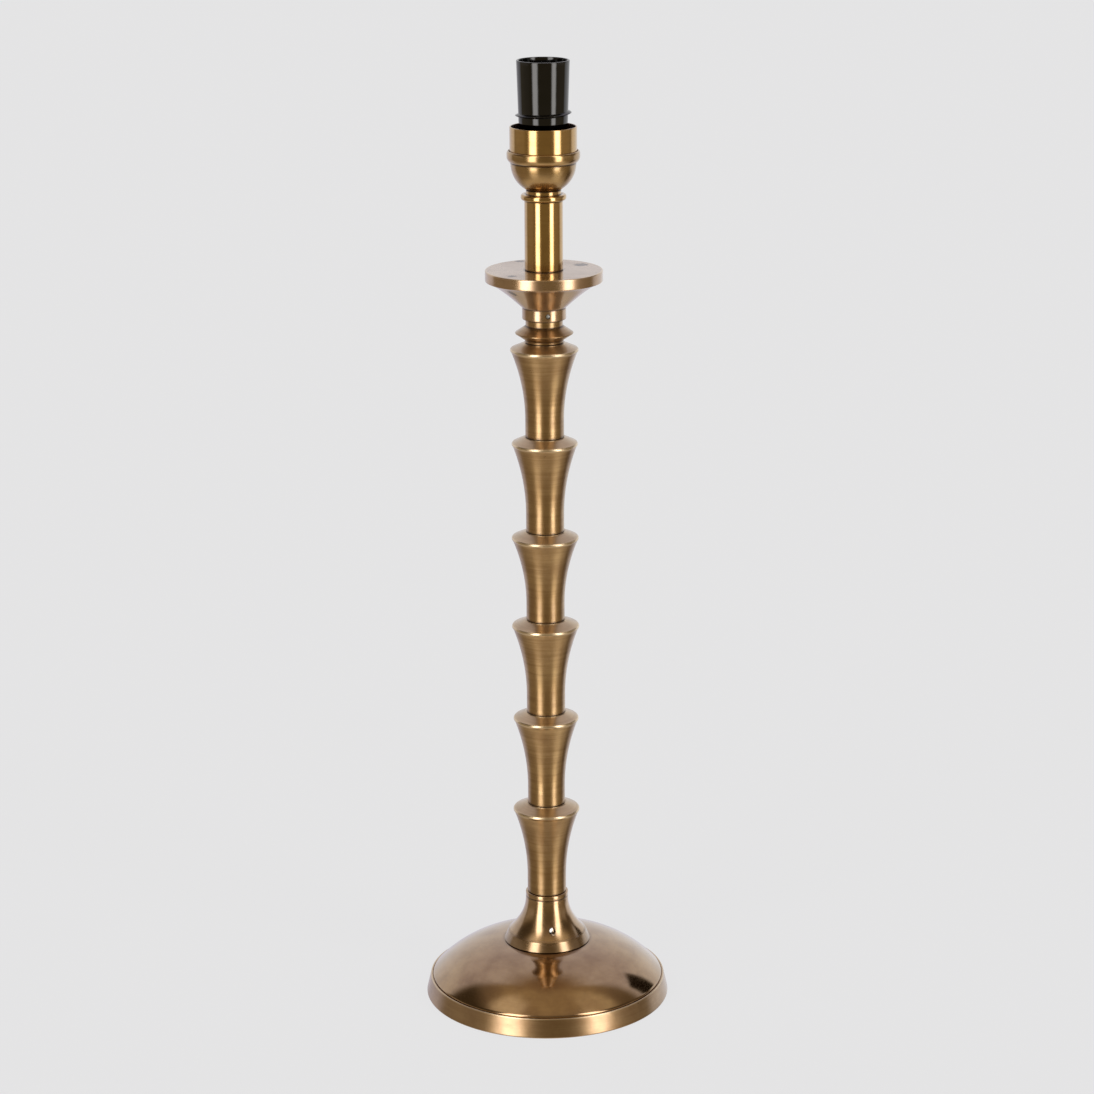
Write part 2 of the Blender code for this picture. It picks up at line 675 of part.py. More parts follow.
def make_column(finish, collection):
    """Six segments, the lowest first, each standing on the one below it."""
    made = []
    bottom = COLUMN_BOTTOM
    for index, share in enumerate(SEGMENT_HEIGHT_SHARES):
        height = SEGMENT_HEIGHT * share
        foot_radius = COLUMN_RADIUS * COLUMN_RADIUS_SHARES[index]
        rim_radius = RIM_RADIUS * RIM_RADIUS_SHARES[index]
        made.append(make_segment(index + 1, bottom, height, foot_radius, rim_radius, finish, collection))
        bottom += height + CLEARANCE
    return made


def make_cone_ring(finish, collection):
    """Ring with a sharp waist edge between two cones, a spigot below and a tenon above."""
    tenon_top = RING_TOP + RING_TENON_LENGTH
    outline = filleted([
        (RING_TENON_RADIUS, tenon_top),
        (RING_TENON_RADIUS, RING_TOP),
        (RING_NECK_RADIUS, RING_TOP),
        (RING_NECK_RADIUS, RING_UPPER),
        (RING_RADIUS, RING_EDGE_TOP, RING_EDGE / 2),
        (RING_RADIUS, RING_EDGE_BOTTOM, RING_EDGE / 2),
        (COLUMN_RADIUS, RING_LOWER),
        (COLUMN_RADIUS, RING_BOTTOM),
        (SPIGOT_RADIUS, RING_BOTTOM),
        (SPIGOT_RADIUS, RING_BOTTOM - SPIGOT_LENGTH),
        (ROD_HOLE, RING_BOTTOM - SPIGOT_LENGTH),
        (ROD_HOLE, tenon_top),
    ])
    return turned("cone_ring", outline, finish, collection)


COLLAR_GRUB_HEIGHT = COLLAR_BOTTOM + DISC_COLLAR_HEIGHT / 2


def make_drip_disc(finish, collection, cutters):
    """Disc with a square rim, an arched cone under it and a collar that the grub screw locks.

    The cone is at its steepest by the collar: what is left of its height is a power of
    what is left of its width.
    """
    cone = []
    for index in range(1, DISC_CONE_POINTS):
        share = 1 - index / DISC_CONE_POINTS
        radius = DISC_COLLAR_RADIUS + (DISC_RADIUS - DISC_RIM_ROUND - DISC_COLLAR_RADIUS) * share
        cone.append((radius, COLLAR_TOP + DISC_CONE_HEIGHT * (1 - (1 - share) ** DISC_CONE_POWER)))
    tenon_socket = bore_over(RING_TENON_RADIUS)
    tenon_top = COLLAR_BOTTOM + RING_TENON_LENGTH
    post = TUBE_RADIUS - TUBE_WALL - CLEARANCE
    outline = filleted([
        (post, DISC_TOP + TUBE_TENON_LENGTH),
        (post, DISC_TOP),
        (DISC_RADIUS, DISC_TOP, DISC_RIM_ROUND),
        (DISC_RADIUS, DISC_RIM_BOTTOM, DISC_RIM_ROUND),
    ] + cone + [
        (DISC_COLLAR_RADIUS, COLLAR_TOP),
        (DISC_COLLAR_RADIUS, COLLAR_BOTTOM, DISC_RIM_ROUND),
        (tenon_socket, COLLAR_BOTTOM),
        (tenon_socket, tenon_top),
        (ROD_HOLE, tenon_top),
        (ROD_HOLE, DISC_TOP + TUBE_TENON_LENGTH),
    ])
    made = turned("drip_disc", outline, finish, collection)
    drill_for_grub(
        made, "collar_grub_hole", DISC_COLLAR_RADIUS, RING_TENON_RADIUS, COLLAR_GRUB_HEIGHT, cutters)
    return made


def make_upper_tube(finish, collection):
    """Plain tube over the disc's post and under the neck ring."""
    outline = tube_outline(TUBE_RADIUS, TUBE_RADIUS - TUBE_WALL, TUBE_BOTTOM, TUBE_TOP)
    return turned("upper_tube", outline, finish, collection)


def make_neck_ring(finish, collection):
    """Rounded flange on the tube, with the neck that carries the cup."""
    post = TUBE_RADIUS - TUBE_WALL - CLEARANCE
    outline = filleted([
        (NECK_RADIUS, NECK_TOP),
        (NECK_RADIUS, NECK_FLANGE_TOP),
        (NECK_FLANGE_RADIUS, NECK_FLANGE_TOP, NECK_FLANGE_ROUND),
        (NECK_FLANGE_RADIUS, NECK_BOTTOM, NECK_FLANGE_ROUND),
        (post, NECK_BOTTOM),
        (post, NECK_BOTTOM - TUBE_TENON_LENGTH),
        (ROD_HOLE, NECK_BOTTOM - TUBE_TENON_LENGTH),
        (ROD_HOLE, NECK_TOP),
    ])
    return turned("neck_ring", outline, finish, collection)


def cup_side(radius, depth, top, floor_radius, points):
    """Points down the side of a bowl: a quarter of a squared ellipse, stopped at its floor."""
    power = 2 / CUP_SQUARENESS
    last = math.acos((floor_radius / radius) ** (1 / power))
    made = []
    for index in range(points + 1):
        angle = last * index / points
        share = math.sin(angle) ** power / math.sin(last) ** power
        made.append((radius * math.cos(angle) ** power, top - depth * share))
    return made


def make_holder_cup(finish, collection):
    """Spun bowl under the lampholder, with a floor that the nut clamps."""
    outside = cup_side(CUP_RADIUS, CUP_DEPTH, CUP_TOP, CUP_FLOOR_RADIUS, CUP_POINTS)
    inside = cup_side(
        CUP_RADIUS - CUP_WALL, CUP_DEPTH - CUP_WALL, CUP_TOP, CUP_FLOOR_RADIUS - CUP_WALL, CUP_INNER_POINTS)
    outline = outside + [(ROD_HOLE, CUP_BOTTOM), (ROD_HOLE, CUP_FLOOR_TOP)] + list(reversed(inside))
    return turned("holder_cup", outline, finish, collection)


def make_cup_bead(finish, collection):
    """Rounded bead between the bowl and the cylinder, with a groove and a seat for the cylinder."""
    seat = SHELL_BOTTOM - CLEARANCE
    seat_radius = bore_over(SHELL_RADIUS)
    inner = CUP_RADIUS - CUP_WALL
    outline = filleted([
        (seat_radius, BEAD_TOP - BEAD_GROOVE_DEPTH),
        (seat_radius + BEAD_GROOVE_WIDTH, BEAD_TOP),
        (BEAD_RADIUS, BEAD_TOP, BEAD_ROUND),
        (BEAD_RADIUS, BEAD_BOTTOM + BEAD_TAPER_HEIGHT, BEAD_ROUND),
        (BEAD_FOOT_RADIUS, BEAD_BOTTOM),
        (inner, BEAD_BOTTOM),
        (inner, seat),
        (seat_radius, seat),
    ])
    return turned("cup_bead", outline, finish, collection)


def make_holder_shell(finish, collection):
    """Open brass cylinder that stands in the bead round the lampholder."""
    outline = tube_outline(
        SHELL_RADIUS, SHELL_RADIUS - SHELL_WALL, SHELL_BOTTOM, SHELL_TOP, SHELL_WALL / 3)
    return turned("holder_shell", outline, finish, collection)


def make_holder_cap(finish, collection):
    """Lower cap of the lampholder: thick floor over the bush, thin collar inside the sleeve."""
    collar_top = CAP_TOP + CAP_COLLAR_HEIGHT
    inner = CAP_COLLAR_RADIUS - CAP_WALL
    cavity = CAP_BOTTOM + CAP_FLOOR
    bush_hole = bore_over(CAP_BUSH_RADIUS)
    outline = filleted([
        (CAP_COLLAR_RADIUS, collar_top),
        (CAP_COLLAR_RADIUS, CAP_TOP),
        (CAP_RADIUS, CAP_TOP),
        (CAP_RADIUS, CAP_BOTTOM, CAP_WALL),
        (bush_hole, CAP_BOTTOM),
        (bush_hole, cavity),
        (inner, cavity),
        (inner, collar_top),
    ])
    return turned("holder_cap", outline, finish, collection, HIDDEN_STEPS)


def make_cap_bush(finish, collection):
    """Threaded brass bush in the cap, which screws onto the rod."""
    outline = tube_outline(CAP_BUSH_RADIUS, ROD_HOLE, CAP_BUSH_BOTTOM, ROD_TOP)
    return turned("cap_bush", outline, finish, collection, HIDDEN_STEPS)


def sleeve_radius(height):
    """Outside of the sleeve: a straight taper from the barrel's foot out to the mouth."""
    share = (height - SLEEVE_BARREL_BOTTOM) / SLEEVE_BARREL_HEIGHT
    return SLEEVE_BARREL_RADIUS + (SLEEVE_MOUTH_RADIUS - SLEEVE_BARREL_RADIUS) * share


def ridge_fade(angle):
    """How far the ridge stands out at an angle along its turn, from 0 at its ends to 1."""
    run_out = math.radians(RIDGE_RUN_OUT_DEGREES)
    nearest = min(angle, 2 * math.pi - angle)
    share = min(1, nearest / run_out)
    return share * share * (3 - 2 * share)


def make_ridge(collection):
    """One right-hand turn of a triangular ridge, which runs out into the barrel at both ends.

    A triangle is carried up a helix. Its outer corner stands out by the fade times the
    full height, and its inner side stays inside the wall of the barrel.
    """
    crest_height = SLEEVE_TOP - RIDGE_FROM_MOUTH
    root = sleeve_radius(crest_height)
    rings = []
    work = bmesh.new()
    for step in range(SLEEVE_STEPS + 1):
        angle = 2 * math.pi * step / SLEEVE_STEPS
        around = angle + math.pi / 2
        rise = crest_height + RIDGE_PITCH * (angle / (2 * math.pi) - 0.5)
        fade = ridge_fade(angle)
        crest = root - RIDGE_BITE / 2 + (RIDGE_RADIUS - root + RIDGE_BITE / 2) * fade
        half = RIDGE_HEIGHT / 2
        corners = ((crest, 0), (root - RIDGE_BITE, -half), (root - RIDGE_BITE, half))
        rings.append([
            work.verts.new((radius * math.cos(around), radius * math.sin(around), rise + offset))
            for radius, offset in corners])
    for ring, following in zip(rings, rings[1:]):
        for side in range(3):
            after = (side + 1) % 3
            work.faces.new((ring[side], following[side], following[after], ring[after]))
    work.faces.new(rings[0])
    work.faces.new(list(reversed(rings[-1])))
    bmesh.ops.recalc_face_normals(work, faces=work.faces)
    mesh = bpy.data.meshes.new("shade_ridge")
    work.to_mesh(mesh)
    work.free()
    return link_object("shade_ridge", mesh, collection)


def make_holder_sleeve(finish, collection, cutters):
    """Thin tapered sleeve that the lamp goes into, necked in where it joins the cap."""
    shoulder = []
    for index in range(1, SLEEVE_POINTS):
        angle = math.pi / 2 * index / SLEEVE_POINTS
        radius = CAP_RADIUS + (SLEEVE_BARREL_RADIUS - CAP_RADIUS) * math.cos(angle)
        shoulder.append((radius, SLEEVE_BARREL_BOTTOM - SLEEVE_SHOULDER_HEIGHT * math.sin(angle)))
    floor_top = BLOCK_BOTTOM - CLEARANCE
    neck_inner = bore_over(CAP_COLLAR_RADIUS)
    outline = filleted([
        (SLEEVE_MOUTH_RADIUS, SLEEVE_TOP, SLEEVE_WALL / 5),
        (SLEEVE_BARREL_RADIUS, SLEEVE_BARREL_BOTTOM),
    ] + shoulder + [
        (CAP_RADIUS, SLEEVE_NECK_TOP),
        (CAP_RADIUS, SLEEVE_BOTTOM),
        (neck_inner, SLEEVE_BOTTOM),
        (neck_inner, floor_top),
        (sleeve_radius(floor_top) - SLEEVE_WALL, floor_top),
        (SLEEVE_MOUTH_RADIUS - SLEEVE_WALL, SLEEVE_TOP, SLEEVE_WALL / 5),
    ])
    made = turned("holder_sleeve", outline, finish, collection, SLEEVE_STEPS)
    combine(made, as_cutter(make_ridge(cutters)), "UNION")
    return made


def make_contact_block(finish, collection, cutters):
    """Ceramic disc with a boss, a stepped pocket for the centre contact and its other holes."""
    pocket = bore_over(CONTACT_RADIUS)
    stem_hole = bore_over(CONTACT_STEM_RADIUS)
    outline = filleted([
        (BLOCK_RADIUS, BLOCK_TOP),
        (BLOCK_RADIUS, BLOCK_BOTTOM),
        (BLOCK_BOSS_RADIUS, BLOCK_BOTTOM),
        (BLOCK_BOSS_RADIUS, BOSS_BOTTOM),
        (stem_hole, BOSS_BOTTOM),
        (stem_hole, BLOCK_TOP - POCKET_DEPTH),
        (pocket, BLOCK_TOP - POCKET_DEPTH),
        (pocket, BLOCK_TOP),
    ])
    made = turned("contact_block", outline, finish, collection)
    slot_depth = STRIP_THICKNESS + 2 * CLEARANCE
    slot_height = BLOCK_THICKNESS + BLOCK_BOSS_LENGTH + 2 * OVERRUN
    slot = box(
        "strip_slot", (slot_depth, STRIP_WIDTH + 2 * CLEARANCE, slot_height),
        (strip_face() - STRIP_THICKNESS / 2, 0, (BLOCK_TOP + BOSS_BOTTOM) / 2), cutters)
    combine(made, as_cutter(slot), "DIFFERENCE")
    for side in (-1, 1):
        shank = bore_over(TERMINAL_SHANK_RADIUS)
        depth = TERMINAL_SHANK_LENGTH + CLEARANCE + OVERRUN
        hole = cylinder(
            "terminal_hole", shank, depth, cutters, steps=SMALL_STEPS,
            place=Matrix.Translation((side * TERMINAL_REACH, 0, BOSS_BOTTOM - OVERRUN + depth / 2)))
        combine(made, as_cutter(hole), "DIFFERENCE")
        rivet_depth = RIVET_LENGTH + CLEARANCE + OVERRUN
        rivet_hole = cylinder(
            "rivet_hole", bore_over(RIVET_RADIUS), rivet_depth, cutters, steps=SMALL_STEPS,
            place=Matrix.Translation((0, side * rivet_reach(), BLOCK_TOP + OVERRUN - rivet_depth / 2)))
        combine(made, as_cutter(rivet_hole), "DIFFERENCE")
    return made


def rivet_reach():
    """Distance of the rivets from the axis: the middle of the screw shell's inward lip."""
    return SCREW_SHELL_RADIUS - SCREW_SHELL_WALL - SCREW_SHELL_LIP / 2


def make_screw_shell(finish, collection, cutters):
    """Thin metal shell that the lamp screws into, with an inward lip riveted to the block."""
    inner = SCREW_SHELL_RADIUS - SCREW_SHELL_WALL
    top = SCREW_SHELL_BOTTOM + SCREW_SHELL_HEIGHT
    outline = [
        (SCREW_SHELL_RADIUS, top),
        (SCREW_SHELL_RADIUS, SCREW_SHELL_BOTTOM),
        (inner - SCREW_SHELL_LIP, SCREW_SHELL_BOTTOM),
        (inner - SCREW_SHELL_LIP, SCREW_SHELL_BOTTOM + SCREW_SHELL_WALL),
        (inner, SCREW_SHELL_BOTTOM + SCREW_SHELL_WALL),
        (inner, top),
    ]
    made = turned("screw_shell", outline, finish, collection)
    for side in (-1, 1):
        hole = cylinder(
            "lip_hole", bore_over(RIVET_RADIUS), SCREW_SHELL_WALL + 2 * OVERRUN, cutters,
            steps=SMALL_STEPS, place=Matrix.Translation((0, side * rivet_reach(), SCREW_SHELL_BOTTOM)))
        combine(made, as_cutter(hole), "DIFFERENCE")
    return made


def make_shell_rivets(finish, collection):
    """Two rivets that hold the screw shell's lip to the block."""
    head_bottom = SCREW_SHELL_BOTTOM + SCREW_SHELL_WALL + CLEARANCE
    outline = [
        (0, head_bottom + RIVET_HEAD_HEIGHT),
        (RIVET_HEAD_RADIUS / 2, head_bottom + RIVET_HEAD_HEIGHT),
        (RIVET_HEAD_RADIUS, head_bottom),
        (RIVET_RADIUS, head_bottom),
        (RIVET_RADIUS, BLOCK_TOP - RIVET_LENGTH),
        (0, BLOCK_TOP - RIVET_LENGTH),
    ]
    made = []
    for number, side in enumerate((-1, 1), start=1):
        rivet = turned("shell_rivet_%d" % number, outline, finish, collection, SMALL_STEPS)
        rivet.location = (0, side * rivet_reach(), 0)
        made.append(rivet)
    return made


def make_terminal_screws(finish, collection):
    """Two screws, heads down, that clamp the leads under the block."""
    head_top = BOSS_BOTTOM - STRIP_THICKNESS - 2 * CLEARANCE
    outline = [
        (0, BOSS_BOTTOM + TERMINAL_SHANK_LENGTH),
        (TERMINAL_SHANK_RADIUS, BOSS_BOTTOM + TERMINAL_SHANK_LENGTH),
        (TERMINAL_SHANK_RADIUS, head_top),
        (TERMINAL_HEAD_RADIUS, head_top),
        (TERMINAL_HEAD_RADIUS, head_top - TERMINAL_HEAD_HEIGHT),
        (0, head_top - TERMINAL_HEAD_HEIGHT),
    ]
    made = []
    for number, side in enumerate((-1, 1), start=1):
        screw = turned("terminal_screw_%d" % number, outline, finish, collection, SMALL_STEPS)
        screw.location = (side * TERMINAL_REACH, 0, 0)
        made.append(screw)
    return made


def strip_face():
    """Distance from the axis to the outer face of the side contact: flush with the boss."""
    return BLOCK_BOSS_RADIUS


def make_strip(name, outline, finish, collection, cutters, screw_side):
    """Bent strip: an outline of (x, height) given the strip's width, drilled for its screw."""
    curve = bpy.data.curves.new(name, "CURVE")
    curve.dimensions = "2D"
    curve.fill_mode = "BOTH"
    curve.extrude = STRIP_WIDTH / 2
    spline = curve.splines.new("POLY")
    spline.points.add(len(outline) - 1)
    for point, (along, height) in zip(spline.points, outline):
        point.co = (along, height, 0, 1)
    spline.use_cyclic_u = True
    made = link_object(name, curve, collection, finish)
    made.rotation_euler = (math.pi / 2, 0, 0)
    bpy.context.view_layer.update()
    made = settle(made)
    hole = cylinder(
        name + "_hole", bore_over(TERMINAL_SHANK_RADIUS), STRIP_THICKNESS + 2 * OVERRUN, cutters,
        steps=SMALL_STEPS,
        place=Matrix.Translation((screw_side * TERMINAL_REACH, 0, BOSS_BOTTOM - STRIP_THICKNESS)))
    combine(made, as_cutter(hole), "DIFFERENCE")
    return made


def make_side_contact(finish, collection, cutters):
    """Strip from under the screw shell's lip, down its slot and under the boss to its screw."""
    outer = strip_face()
    foot_top = BOSS_BOTTOM - CLEARANCE
    foot_bottom = foot_top - STRIP_THICKNESS
    foot_end = CONTACT_BUTTON_RADIUS + CLEARANCE
    outline = [
        (outer, BLOCK_TOP),
        (outer, foot_bottom),
        (foot_end, foot_bottom),
        (foot_end, foot_top),
        (outer - STRIP_THICKNESS, foot_top),
        (outer - STRIP_THICKNESS, BLOCK_TOP),
    ]
    return make_strip("side_contact", outline, finish, collection, cutters, 1)


def make_centre_tag(finish, collection, cutters):
    """Flat tag beside the centre contact's button, under its own screw."""
    top = BOSS_BOTTOM - CLEARANCE
    near = CONTACT_BUTTON_RADIUS + CLEARANCE
    far = TERMINAL_REACH + TERMINAL_HEAD_RADIUS
    outline = [
        (-near, top),
        (-near, top - STRIP_THICKNESS),
        (-far, top - STRIP_THICKNESS),
        (-far, top),
    ]
    return make_strip("centre_tag", outline, finish, collection, cutters, -1)


def make_centre_contact(finish, collection):
    """Plunger that the lamp pushes down: domed head, stem and a button that keeps it in.

    Its origin is on the axis that it slides along, level with the top of the block.
    """
    top = CONTACT_STAND_UP
    head_bottom = top - CONTACT_HEAD
    button_top = BOSS_BOTTOM - CLEARANCE - BLOCK_TOP
    outline = filleted([
        (CONTACT_RADIUS / 2, top),
        (CONTACT_RADIUS, top - CONTACT_DOME, CONTACT_DOME),
        (CONTACT_RADIUS, head_bottom),
        (CONTACT_STEM_RADIUS, head_bottom),
        (CONTACT_STEM_RADIUS, button_top),
        (CONTACT_BUTTON_RADIUS, button_top),
        (CONTACT_BUTTON_RADIUS, button_top - CONTACT_BUTTON_HEIGHT),
    ])
    outline = [(0, top)] + outline + [(0, button_top - CONTACT_BUTTON_HEIGHT)]
    made = turned("centre_contact", outline, finish, collection, SMALL_STEPS)
    made.location = (0, 0, BLOCK_TOP)
    return made


def make_contact_spring(finish, collection):
    """Open coil round the stem, from the floor of the pocket up to the contact's head."""
    low = BLOCK_TOP - POCKET_DEPTH + CLEARANCE + SPRING_WIRE_RADIUS
    high = BLOCK_TOP + CONTACT_STAND_UP - CONTACT_HEAD - CLEARANCE - SPRING_WIRE_RADIUS
    radius = (CONTACT_STEM_RADIUS + CONTACT_RADIUS) / 2
    curve = bpy.data.curves.new("contact_spring", "CURVE")
    curve.dimensions = "3D"
    curve.bevel_depth = SPRING_WIRE_RADIUS
    curve.bevel_resolution = 1
    curve.use_fill_caps = True
    spline = curve.splines.new("POLY")
    count = SPRING_TURNS * SPRING_POINTS_A_TURN
    spline.points.add(count)
    for index, point in enumerate(spline.points):
        angle = 2 * math.pi * index / SPRING_POINTS_A_TURN
        height = low + (high - low) * index / count
        point.co = (radius * math.cos(angle), radius * math.sin(angle), height, 1)
    gap = (high - low - CONTACT_TRAVEL) / SPRING_TURNS - 2 * SPRING_WIRE_RADIUS
    print("contact_spring: gap between turns when pressed %.5f m" % gap)
    return link_object("contact_spring", curve, collection, finish)


def main():
    """Build the lamp base."""
    clear_scene()
    parts = make_collection("lamp_base")
    cutters = make_collection("cutters", hidden=True)
    brass = make_material("satin_brass", "9A7B4C", 0.28, 1.0)
    polished = make_material("polished_brass", "A78650", 0.18, 1.0)
    raw_brass = make_material("plain_brass", "B59A5A", 0.35, 1.0)
    iron = make_material("cast_iron", "3A3836", 0.70, 0.6)
    steel = make_material("zinc_steel", "A9A9A6", 0.35, 1.0)
    felt = make_material("green_felt", "2C3B2C", 0.95, 0.0)
    phenolic = make_material("black_phenolic", "141313", 0.22, 0.0)
    ceramic = make_material("glazed_ceramic", "E4E0D6", 0.30, 0.0)

    pieces = [
        make_base_dome(polished, parts, cutters),
        make_base_weight(iron, parts, cutters),
        make_base_felt(felt, parts),
        make_cord_bush(phenolic, parts),
        make_washer("base_washer", BASE_WASHER_TOP - WASHER_THICKNESS, steel, parts),
        make_nut("base_nut", BASE_NUT_TOP - NUT_HEIGHT, steel, parts, cutters),
        make_tie_rod(steel, parts),
        make_foot_ferrule(polished, parts, cutters),
        make_grub(
            "ferrule_grub", ferrule_radius(FERRULE_GRUB_HEIGHT), ROD_RADIUS, FERRULE_GRUB_HEIGHT,
            steel, parts),
        make_cone_ring(brass, parts),
        make_drip_disc(brass, parts, cutters),
        make_grub(
            "collar_grub", DISC_COLLAR_RADIUS, RING_TENON_RADIUS, COLLAR_GRUB_HEIGHT, steel, parts),
        make_upper_tube(polished, parts),
        make_neck_ring(polished, parts),
        make_holder_cup(polished, parts),
        make_cup_bead(polished, parts),
        make_holder_shell(polished, parts),
        make_washer("cup_washer", CUP_WASHER_BOTTOM, steel, parts),
        make_nut("cup_nut", CUP_NUT_BOTTOM, raw_brass, parts, cutters),
        make_holder_cap(phenolic, parts),
        make_cap_bush(raw_brass, parts),
        make_holder_sleeve(phenolic, parts, cutters),
        make_contact_block(ceramic, parts, cutters),
        make_screw_shell(raw_brass, parts, cutters),
        make_side_contact(raw_brass, parts, cutters),
        make_centre_tag(raw_brass, parts, cutters),
        make_centre_contact(raw_brass, parts),
        make_contact_spring(steel, parts),
    ]
    pieces += make_column(brass, parts)
    pieces += make_shell_rivets(raw_brass, parts)
    pieces += make_terminal_screws(raw_brass, parts)
    for piece in pieces:
        settle(piece)


main()
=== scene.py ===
"""Looks of a turned brass stick lamp base with a drip disc and a black screw lampholder.

Every visible turned piece is worked out here as a fine surface of revolution in the space of its
plain solid, and every surface gets the finish that the real one has.
"""
import math

import bmesh
import bpy
import numpy as np
from mathutils import Matrix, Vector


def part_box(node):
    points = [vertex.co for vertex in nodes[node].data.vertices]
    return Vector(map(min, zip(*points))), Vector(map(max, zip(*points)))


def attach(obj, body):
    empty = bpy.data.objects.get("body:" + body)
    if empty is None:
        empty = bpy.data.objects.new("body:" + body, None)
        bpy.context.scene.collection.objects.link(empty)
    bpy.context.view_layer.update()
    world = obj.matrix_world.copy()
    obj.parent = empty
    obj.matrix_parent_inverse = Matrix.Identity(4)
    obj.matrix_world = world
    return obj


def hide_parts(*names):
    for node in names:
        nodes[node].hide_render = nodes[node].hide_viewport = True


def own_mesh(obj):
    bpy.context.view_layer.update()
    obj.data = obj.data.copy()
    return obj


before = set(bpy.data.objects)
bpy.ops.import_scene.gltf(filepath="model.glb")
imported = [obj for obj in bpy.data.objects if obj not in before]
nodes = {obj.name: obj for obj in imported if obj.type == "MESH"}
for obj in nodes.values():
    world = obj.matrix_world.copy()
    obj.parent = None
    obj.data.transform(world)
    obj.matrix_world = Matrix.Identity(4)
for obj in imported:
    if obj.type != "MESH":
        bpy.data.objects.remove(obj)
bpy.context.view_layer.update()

MM = 0.001

# How finely surfaces are drawn: steps round the axis, steps of a rounded corner, the longest
# steps along an outline, and the least angle of a crease
ROUND = 160
WIDE_ROUND = 256
SMALL_ROUND = 48
CORNER_STEPS = 5
FINE_STEP = 0.5 * MM
STEP = 0.8 * MM
WIDE_STEP = 1.5 * MM
SHARP = math.radians(32)

# Camera, fitted to the circles of the photographed lamp
CAMERA_PLACE = (1.1 * MM, -1905.1 * MM, 844.1 * MM)
CAMERA_PITCH = -0.27613
CAMERA_ROLL = math.radians(-0.27)
CAMERA_FOCUS_PIXELS = 3113.9
PHOTO_PIXELS = 1094
SENSOR_WIDTH = 36.0

# Backdrop and floor
BACKDROP_HEX = "E6E6E7"
FLOOR_REACH = 9.0

# Fits and walls shared with the solids
GAP = 0.3 * MM
ROD_HOLE = 5.25 * MM
SPIGOT_RADIUS = 8.5 * MM
SPIGOT_SOCKET = SPIGOT_RADIUS + GAP
SPIGOT_LENGTH = 2.0 * MM

# Radius of the small face that closes a solid piece on the axis
POLE = 0.02 * MM


def span(node):
    """Lowest and highest height of a solid, and its widest radius."""
    low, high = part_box(node)
    return low.z, high.z, max(high.x, -low.x)


def rounded(corners, steps=CORNER_STEPS):
    """Outline whose corners (radius, height, fillet) become arcs tangent to both of their sides.

    The arc's centre lies on the bisector of the corner at fillet / sin(half angle), and the
    points go round it evenly. A fillet takes at most 0.45 of the shorter side.
    """
    points = []
    for index, corner in enumerate(corners):
        here = np.array(corner[:2], float)
        if len(corner) < 3:
            points.append(here)
            continue
        before = np.array(corners[index - 1][:2], float) - here
        after = np.array(corners[(index + 1) % len(corners)][:2], float) - here
        long_before, long_after = np.linalg.norm(before), np.linalg.norm(after)
        before, after = before / long_before, after / long_after
        half = math.acos(np.clip(before @ after, -1, 1)) / 2
        reach = min(corner[2] / math.tan(half), 0.45 * long_before, 0.45 * long_after)
        centre = here + (before + after) / np.linalg.norm(before + after) * reach / math.cos(half)
        start, end = here + before * reach - centre, here + after * reach - centre
        sweep = math.atan2(start[0] * end[1] - start[1] * end[0], start @ end)
        turn = np.linspace(0, sweep, steps + 1)
        arc = np.stack([
            start[0] * np.cos(turn) - start[1] * np.sin(turn),
            start[0] * np.sin(turn) + start[1] * np.cos(turn)], axis=1)
        points.extend(centre + arc)
    return np.array(points)


def divided(outline, longest):
    """The same outline with points added along its straight runs, none longer than a length."""
    made = []
    for here, after in zip(outline, np.roll(outline, -1, axis=0)):
        count = max(1, math.ceil(np.linalg.norm(after - here) / longest))
        share = np.arange(count)[:, None] / count
        made.append(here + (after - here) * share)
    return np.concatenate(made)


def bearings(steps):
    """Even bearings once round the axis."""
    return np.arange(steps) * 2 * math.pi / steps


def revolve(radius, height, steps):
    """Grid of points (r cos t, r sin t, h) where r and h are arrays of (rows,) or (rows, steps)."""
    turn = bearings(steps)
    radius, height = radius.reshape(len(radius), -1), height.reshape(len(height), -1)
    return np.stack(
        [radius * np.cos(turn), radius * np.sin(turn), height * np.ones(steps)], axis=2)


def placed(name, content):
    """Object of a mesh or a camera, put in the scene."""
    made = bpy.data.objects.new(name, content)
    bpy.context.scene.collection.objects.link(made)
    return made


def places(rows, field="co"):
    """Places of a mesh's points, or of its faces' centres, as an array of (count, 3)."""
    found = np.empty(len(rows) * 3, np.float32)
    rows.foreach_get(field, found)
    return found.reshape(-1, 3)


def surface(name, grid, solid=False):
    """Mesh object from a grid of points, (rows, columns, 3), whose columns close round the axis.

    The rows close on each other round a bored piece. On a solid piece the first and the last row
    are each filled by one face instead.
    """
    rows, columns = grid.shape[:2]
    number = np.arange(rows * columns).reshape(rows, columns)
    below = np.roll(number, -1, axis=0)
    quads = np.stack(
        [number, below, np.roll(below, -1, axis=1), np.roll(number, -1, axis=1)], axis=2)
    faces = quads[:rows - 1 if solid else rows].reshape(-1, 4).tolist()
    if solid:
        faces += [number[0].tolist(), number[-1][::-1].tolist()]
    mesh = bpy.data.meshes.new(name)
    mesh.from_pydata(grid.reshape(-1, 3).tolist(), [], faces)
    work = bmesh.new()
    work.from_mesh(mesh)
    bmesh.ops.recalc_face_normals(work, faces=work.faces)
    work.to_mesh(mesh)
    work.free()
    mesh.shade_smooth()
    mesh.set_sharp_from_angle(angle=SHARP)
    return placed(name, mesh)


def turned(name, outline, steps=ROUND, solid=False):
    """Surface of revolution of an outline of (radius, height) about the lamp's axis."""
    return surface(name, revolve(outline[:, 0], outline[:, 1], steps), solid)


